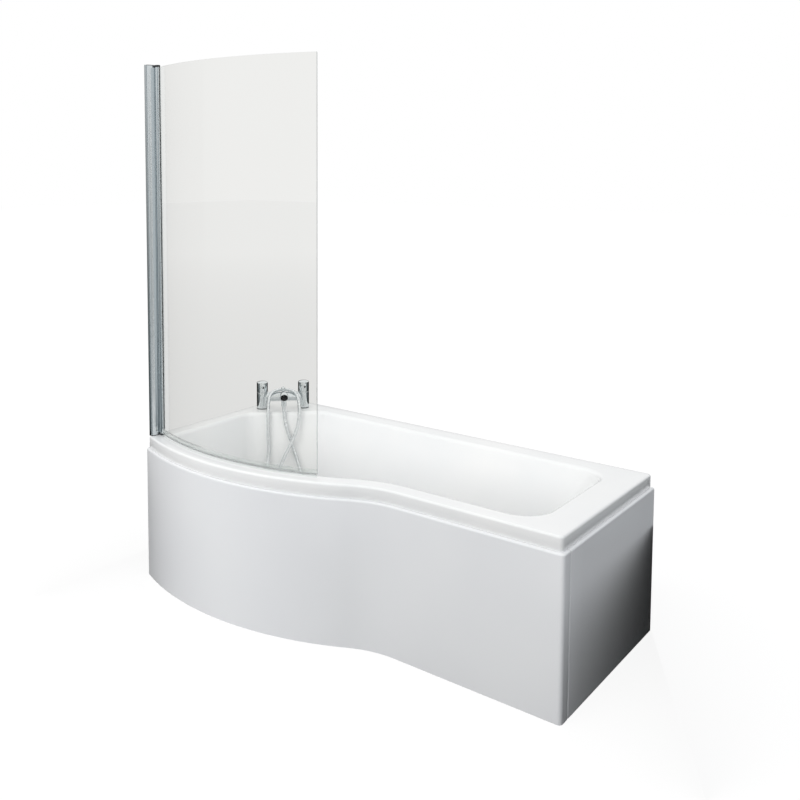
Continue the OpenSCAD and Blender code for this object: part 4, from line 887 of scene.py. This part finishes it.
def makeGlass():
    outline = bandOutline(glassR - screen["glass"], glassR, screen["hingeX"] + 7, screen["end"], 96)
    pane = extruded("glassPane", outline, glassLow, clampTop - 0.5, finish["toughenedGlass"], 5)
    bevelled(pane, 0.9, 2, 5)
    pane.data.materials.append(finish["groundEdge"])
    centre = place(bath["bulgeX"], bulgeY, 0)
    for polygon in pane.data.polygons:
        radial = polygon.center - centre
        radial.z = 0
        flat = abs(radial.normalized().dot(polygon.normal)) > 0.9
        polygon.material_index = 0 if flat else 1  # the ground edge
    pane.visible_shadow = pane.visible_diffuse = False  # toughened glass lets the soft light through
    ridesOn(pane, "screen", "glass", "screen_glass")


def makeSeal():
    side, low, top = 2.0, bath["rim"] + 0.5, glassLow + 12
    inner, outer, back = glassR - screen["glass"] - side, glassR + side, glassR - screen["glass"]
    shapes = ((glassR + 0.05, outer, low + 9, top), (inner, back - 0.05, low + 9, top),
              (inner, outer, low + 8, glassLow - 0.1), (inner, inner + 1.6, low, low + 8),
              (outer - 1.6, outer, low, low + 8))
    fins = []
    for a, b, z0, z1 in shapes:
        outline = bandOutline(a, b, screen["clampX"] - 8, screen["end"], 96)
        fins.append(extruded("fin", outline, z0, z1, finish["clearVinyl"]))
    strip = joined("sealStrip", fins, 12)
    strip.visible_shadow = strip.visible_diffuse = False
    ridesOn(strip, "screen", "clear_seal", "screen_seal")


def makeHinge():
    r = screen["barrel"] / 2
    centre = (screen["hingeX"], hingeY)
    barrelLine = arcPoints(centre, r, 0, 356.25, 95)
    barrel = extruded("barrel", barrelLine, barrelLow, barrelTop, finish["polishedAluminium"])
    bevelled(barrel, 0.6, 2, 12)
    arms = []
    inner, outer = glassR - screen["glass"] - screen["gasket"], glassR + screen["gasket"]
    for a, b in ((outer, outer + screen["clamp"]), (inner - screen["clamp"], inner)):
        outline = bandOutline(a, b, screen["hingeX"] + 4, screen["clampX"], 12)
        arm = extruded("arm", outline, clampLow, clampTop, finish["polishedAluminium"])
        bevelled(arm, 0.5, 2, 12)
        arms.append(arm)
    ridesOn(joined("hingeExtrusion", [barrel] + arms, 12), "screen", "bright_aluminium", "hinge_profile")
    strips = [extruded("strip", bandOutline(a, b, screen["hingeX"] + 8, screen["clampX"] + 0.6, 8),
                       clampLow + 0.2, clampTop - 0.2, finish["clearVinyl"])
              for a, b in ((glassR + 0.05, outer - 0.02), (inner + 0.02, glassR - screen["glass"] - 0.05))]
    ridesOn(joined("glazingStrip", strips, 12), "screen", "clear_seal", "hinge_gasket")


channelY = hingeY - screen["channelWide"] + screen["barrel"] / 2


def makeWallProfiles():
    wide, deep, t = screen["channelWide"], screen["channelDeep"], 2.0
    y0, y1 = channelY, channelY + wide
    outline = [(0, y0), (deep, y0), (deep, y0 + t), (t, y0 + t), (t, y1 - t), (deep, y1 - t), (deep, y1),
               (0, y1)]
    channel = extruded("wallChannelExtrusion", outline, bath["rim"], screenTop, finish["polishedAluminium"],
                       12, 0.4)
    ridesOn(channel, "bath", "bright_aluminium", "wall_channel")
    ax0, ax1 = t + 3.5, screen["hingeX"] - screen["barrel"] / 2 - 1.2
    ay0 = y0 + t + 0.3
    ay1 = ay0 + wide - 2 * t - 0.6
    face = [(ax0, ay0), (ax1 - 8.5, ay0), (ax1 - 7.2, ay0 + 0.5), (ax1 - 2, ay0 + 12), (ax1, ay0 + 24),
            (ax1, ay1 - 1), (ax1 - 1, ay1), (ax0, ay1)]
    profile = extruded("adjustingExtrusion", face, bath["rim"] + t, screenTop - t,
                       finish["polishedAluminium"])
    bevelled(profile, 0.5, 2, 12)
    ridesOn(profile, "bath", "bright_aluminium", "adjusting_profile")
    caps = [extruded("cap", face, low, low + t, finish["darkAcetal"], 20)
            for low in (bath["rim"], screenTop - t)]
    ridesOn(joined("profileEndCaps", caps, 20), "bath", "black_plastic", "profile_caps")


makeGlass()
makeSeal()
makeHinge()
makeWallProfiles()
print("screen made")

# Carried-over nodes get their finishes
nodeFinish = {
    "chipboard": ["baseboard"], "planedPine": ["floor_battens"], "darkAcetal": ["top_pivot", "bottom_pivot"],
    "zincPlate": ["cradle_bars", "leg_rods", "leg_nuts", "wall_brackets", "panel_clips", "adjusting_screws"],
    "nitrileRubber": ["leg_feet", "waste_washers", "plug_seal", "overflow_seal", "tap_gaskets",
                      "diverter_valve"],
    "whitePolypropylene": ["waste_nut", "trap_body", "trap_nut", "outlet_union", "overflow_elbow",
                           "tap_washers"],
    "turnedBrass": ["hot_cartridge", "cold_cartridge", "hot_spindle", "cold_spindle", "tap_tails",
                    "tap_backnuts"],
}
for key, names in nodeFinish.items():
    for name in names:
        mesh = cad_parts[name].data
        mesh.materials.clear()
        mesh.materials.append(finish[key])

# The overflow pipe is convoluted tube, made along the same route as its solid
pipe = {"behind": 25.0, "below": 62.3, "turn": 205.0, "out": 66.3, "height": 62.0, "fall": 0.7,
        "reach": 130.0, "end": 3.0, "diameter": 26.0, "pitch": 5.0, "groove": 1.6}


def pipeLine():
    steps = 80
    start = Vector((overflowX - pipe["behind"], overflow["y"], overflowZ - pipe["below"]))
    way = Vector((cos(radians(pipe["turn"])), sin(radians(pipe["turn"])), 0))
    end = Vector((waste["x"], waste["y"], pipe["height"])) + pipe["out"] * way
    bends = [start - Vector((0, 0, pipe["end"])),
             start - Vector((0, 0, pipe["fall"] * (start.z - end.z))),
             end + pipe["reach"] * way, end + pipe["end"] * way]
    line = [start]
    for i in range(steps + 1):
        t = i / steps
        shares = ((1 - t) ** 3, 3 * t * (1 - t) ** 2, 3 * t * t * (1 - t), t ** 3)
        line.append(sum((share * bend for share, bend in zip(shares, bends)), Vector((0, 0, 0))))
    return [place(*p) for p in line + [end]]


def makeOverflowPipe():
    path = evenly(pipeLine(), pipe["pitch"] / 4000)
    full = pipe["diameter"] / 2000
    radii = [full - pipe["groove"] / 1000 * (0.0, 0.4, 1.0, 0.4)[i % 4] for i in range(len(path))]
    tube = sweep("overflowHose", path, radii, finish["whitePolypropylene"], 24, 70)
    ridesOn(tube, "bath", "white_plastic", "overflow_pipe")


makeOverflowPipe()
print("underside made")

# Studio: white all round, a soft lamp at the front left, dark cloth and cards that the camera doesn't see
studio = {"floor": 30.0, "floorZ": -0.0005, "paper": 0.13, "glow": 0.9, "room": 1.0, "skyThroughGlass": 0.86,
          "throughGlass": (1.0, 14.0, 0.62, 0.72), "bounce": (-0.4, 0.4, 0.32, 0.02),
          "heights": [(0.0, "#FFFFFF"), (0.4, "#F8F8F8"), (1.0, "#ECECEC")],
          "sides": [(0.0, "#FFFFFF"), (0.55, "#FCFCFC"), (1.0, "#F6FAFF")]}


def seenBy(tree, path):
    # the rays that see the white background: the camera's own, and those off metal and through glass
    mirrored = addNode(tree, "ShaderNodeMath", {"operation": "MAXIMUM"},
                       {0: path.outputs["Is Glossy Ray"], 1: path.outputs["Is Transmission Ray"]})
    return addNode(tree, "ShaderNodeMath", {"operation": "MAXIMUM"},
                   {0: path.outputs["Is Camera Ray"], 1: mirrored})


def seamlessPaper():
    # white paper that glows a little to the eye, so that it reads white and still takes the shadow
    material, tree, shader, coords = newFinish("seamlessPaper", rough=1.0, specular=0.0, glow=(1, 1, 1, 1))
    path = addNode(tree, "ShaderNodeLightPath")
    seen = seenBy(tree, path)
    away = addNode(tree, "ShaderNodeVectorMath", {"operation": "LENGTH"}, {0: coords}).outputs["Value"]
    paler = addNode(tree, "ShaderNodeMapRange", dict(zip(rangeSockets, studio["throughGlass"])),
                    {"Value": away})
    clear = addNode(tree, "ShaderNodeMix", {2: studio["glow"]},
                    {0: path.outputs["Is Transmission Ray"], 3: paler})
    glow = addNode(tree, "ShaderNodeMath", {"operation": "MULTIPLY"}, {0: seen, 1: clear})
    split = addNode(tree, "ShaderNodeSeparateXYZ", links={"Vector": coords})
    grey = addNode(tree, "ShaderNodeMapRange", dict(zip(rangeSockets, studio["bounce"])), {"Value": split})
    tone = addNode(tree, "ShaderNodeMix", {"data_type": "RGBA", 7: (studio["paper"],) * 3 + (1,)},
                   {0: seen, 6: grey})
    tree.links.new(tone.outputs[2], shader.inputs["Base Color"])
    tree.links.new(glow.outputs[0], shader.inputs["Emission Strength"])
    return material


def makeFloor():
    half, low = studio["floor"], studio["floorZ"]
    corners = [(-half, -half, low), (half, -half, low), (half, half, low), (-half, half, low)]
    pieceFrom("studioFloor", corners, [(0, 1, 2, 3)], seamlessPaper())


def makeWorld():
    world = bpy.data.worlds.new("studioWorld")
    scene.world = world
    world.use_nodes = True
    tree = world.node_tree
    tree.nodes.clear()
    path = addNode(tree, "ShaderNodeLightPath")
    split = addNode(tree, "ShaderNodeSeparateXYZ",
                    links={"Vector": addNode(tree, "ShaderNodeTexCoord").outputs["Generated"]})
    height = addNode(tree, "ShaderNodeValToRGB", {"stops": studio["heights"]}, {"Fac": split.outputs["Z"]})
    sidePoint = addNode(tree, "ShaderNodeMath", {"operation": "MULTIPLY_ADD", 1: 0.5, 2: 0.5}, {0: split})
    side = addNode(tree, "ShaderNodeValToRGB", {"stops": studio["sides"]}, {"Fac": sidePoint})
    room = addNode(tree, "ShaderNodeMix", {"data_type": "RGBA", "blend_type": "MULTIPLY", 0: 1.0},
                   {6: height, 7: side})
    roomLight = addNode(tree, "ShaderNodeBackground", {"Strength": studio["room"]},
                        {"Color": room.outputs[2]})
    sky = addNode(tree, "ShaderNodeMapRange", {"To Min": 1.0, "To Max": studio["skyThroughGlass"]},
                  {"Value": path.outputs["Is Transmission Ray"]})
    white = addNode(tree, "ShaderNodeBackground", {"Color": (1, 1, 1, 1)}, {"Strength": sky})
    straight = addNode(tree, "ShaderNodeMath", {"operation": "LESS_THAN", 1: 0.5},
                       {0: path.outputs["Diffuse Depth"]})
    seen = addNode(tree, "ShaderNodeMath", {"operation": "MULTIPLY"}, {0: seenBy(tree, path), 1: straight})
    mix = addNode(tree, "ShaderNodeMixShader", links={0: seen, 1: roomLight, 2: white})
    addNode(tree, "ShaderNodeOutputWorld", links={"Surface": mix})


def aimed(at, to):
    turn = (Vector(to) - Vector(at)).to_track_quat("-Z", "Y")
    return Matrix.Translation(at) @ turn.to_matrix().to_4x4()


keyLamp = {"at": (-0.4, -4.5, 2.2), "to": (0.0, 0.0, 0.4), "size": (3.4, 2.4), "watts": 84.0}


def makeLamp():
    data = bpy.data.lights.new("keyBox", "AREA")
    data.shape = "RECTANGLE"
    data.size, data.size_y = keyLamp["size"]
    data.energy = keyLamp["watts"]
    light = bpy.data.objects.new("keyBox", data)
    light.matrix_world = aimed(keyLamp["at"], keyLamp["to"])
    light.visible_camera = light.visible_glossy = light.visible_transmission = False
    scene.collection.objects.link(light)


# The dark cloth; each span is the lowest and highest input, and what they turn to
bowl = {"hole": 0.02, "reach": 25.0, "low": -0.0003, "tall": 12.0, "sides": 64, "eye": 1.0,
        "toward": (0.6, -0.8, 0.0),
        "spans": {"slope": (-0.8, 0.25, 0.0, 1.0), "above": (0.05, 0.2, 0.0, 1.0),
                  "behind": (-0.8, 0.0, 0.1, 1.0), "beyond": (0.9, 1.8, 0.0, 1.0),
                  "facing": (0.72, 0.92, 0.0, 0.9), "tapSide": (-0.95, -0.6, 0.4, 1.0)},
        "stops": [(0.0, "#0C1113"), (0.38, "#5E696C"), (0.5, "#757F82"), (0.6, "#7F8789"), (0.67, "#999D9E"),
                  (0.72, "#B7BABA"), (0.82, "#D6D8D8"), (0.89, "#F2F3F3"), (1.0, "#FFFFFF")]}


def gradedCloth():
    # a dark cloth that only reflections see: black by the bath, paler toward the horizon and white above it
    material, tree, shader, coords = newFinish("gradedCloth", colour=(0, 0, 0, 1), rough=1.0, specular=0.0)
    split = addNode(tree, "ShaderNodeSeparateXYZ", links={"Vector": coords})
    level = addNode(tree, "ShaderNodeCombineXYZ", links={"X": split, "Y": split.outputs["Y"]})
    away = addNode(tree, "ShaderNodeVectorMath", {"operation": "LENGTH"}, {0: level}).outputs["Value"]
    rise = addNode(tree, "ShaderNodeMath", {"operation": "SUBTRACT", 1: bowl["eye"]}, {0: split.outputs["Z"]})
    slope = addNode(tree, "ShaderNodeMath", {"operation": "DIVIDE"}, {0: rise, 1: away})
    ahead = addNode(tree, "ShaderNodeVectorMath", {"operation": "DOT_PRODUCT", 1: bowl["toward"]},
                    {0: coords}).outputs["Value"]
    facing = addNode(tree, "ShaderNodeMath", {"operation": "DIVIDE"}, {0: ahead, 1: away})
    leftward = addNode(tree, "ShaderNodeMath", {"operation": "DIVIDE"}, {0: split, 1: away})
    inputs = {"slope": slope, "above": slope, "behind": ahead, "beyond": ahead, "facing": facing,
              "tapSide": leftward}
    spans = {}
    for key, value in inputs.items():
        span = dict(zip(rangeSockets, bowl["spans"][key]))
        spans[key] = addNode(tree, "ShaderNodeMapRange", span, {"Value": value})
    tone = addNode(tree, "ShaderNodeValToRGB", {"stops": bowl["stops"]}, {"Fac": spans["slope"]})
    shade = addNode(tree, "ShaderNodeMath", {"operation": "MAXIMUM"}, {0: spans["behind"], 1: spans["above"]})
    front = addNode(tree, "ShaderNodeMath", {"operation": "MULTIPLY"},
                    {0: spans["facing"], 1: spans["beyond"]})
    dimmed = addNode(tree, "ShaderNodeMath", {"operation": "MULTIPLY"}, {0: shade, 1: spans["tapSide"]})
    lit = addNode(tree, "ShaderNodeMix", {"data_type": "RGBA", 7: (1, 1, 1, 1)}, {0: front, 6: tone})
    tree.links.new(lit.outputs[2], shader.inputs["Emission Color"])
    tree.links.new(dimmed.outputs[0], shader.inputs["Emission Strength"])
    return material


def makeBowl():
    turns = [2 * pi * k / bowl["sides"] for k in range(bowl["sides"])]
    outline = ((bowl["hole"], bowl["low"]), (bowl["reach"], bowl["low"]), (bowl["reach"], bowl["tall"]))
    rings = [[Vector((r * cos(turn), r * sin(turn), z)) for turn in turns] for r, z in outline]
    cloth = ringPiece("reflectionBowl", rings, gradedCloth(), 20, caps=False)
    cloth.visible_camera = cloth.visible_diffuse = cloth.visible_transmission = cloth.visible_shadow = False


cards = {"rightFlag": {"at": (0.97, 0.24, 0.19), "to": (0.86, 0.18, 0.19), "size": (1.3, 0.38),
                       "shades": True, "mirrorsOnly": False},
         "leftFlag": {"at": (-1.05, -0.2, 0.25), "to": (0.0, -0.2, 0.25), "size": (1.1, 0.5),
                      "shades": False, "mirrorsOnly": False},
         "tapFlag": {"at": (-1.16, 0.78, 0.36), "to": (-0.73, 0.3, 0.36), "size": (1.7, 0.5),
                     "shades": False, "mirrorsOnly": True}}


def makeCards():
    velvet = makeFinish("blackVelvet", moulded("#0A1416", "#0C1719", 1.0))
    for name, card in cards.items():
        wide, tall = card["size"][0] / 2, card["size"][1] / 2
        turn = aimed(card["at"], card["to"])
        corners = [turn @ Vector((x * wide, y * tall, 0)) for x, y in ((-1, -1), (1, -1), (1, 1), (-1, 1))]
        board = pieceFrom(name, corners, [(0, 1, 2, 3)], velvet)
        board.visible_camera = board.visible_transmission = False
        board.visible_shadow = card["shades"]
        board.visible_diffuse = not card["mirrorsOnly"]


makeFloor()
makeWorld()
makeLamp()
makeBowl()
makeCards()
scene.view_settings.view_transform = "Standard"
print("studio lit")
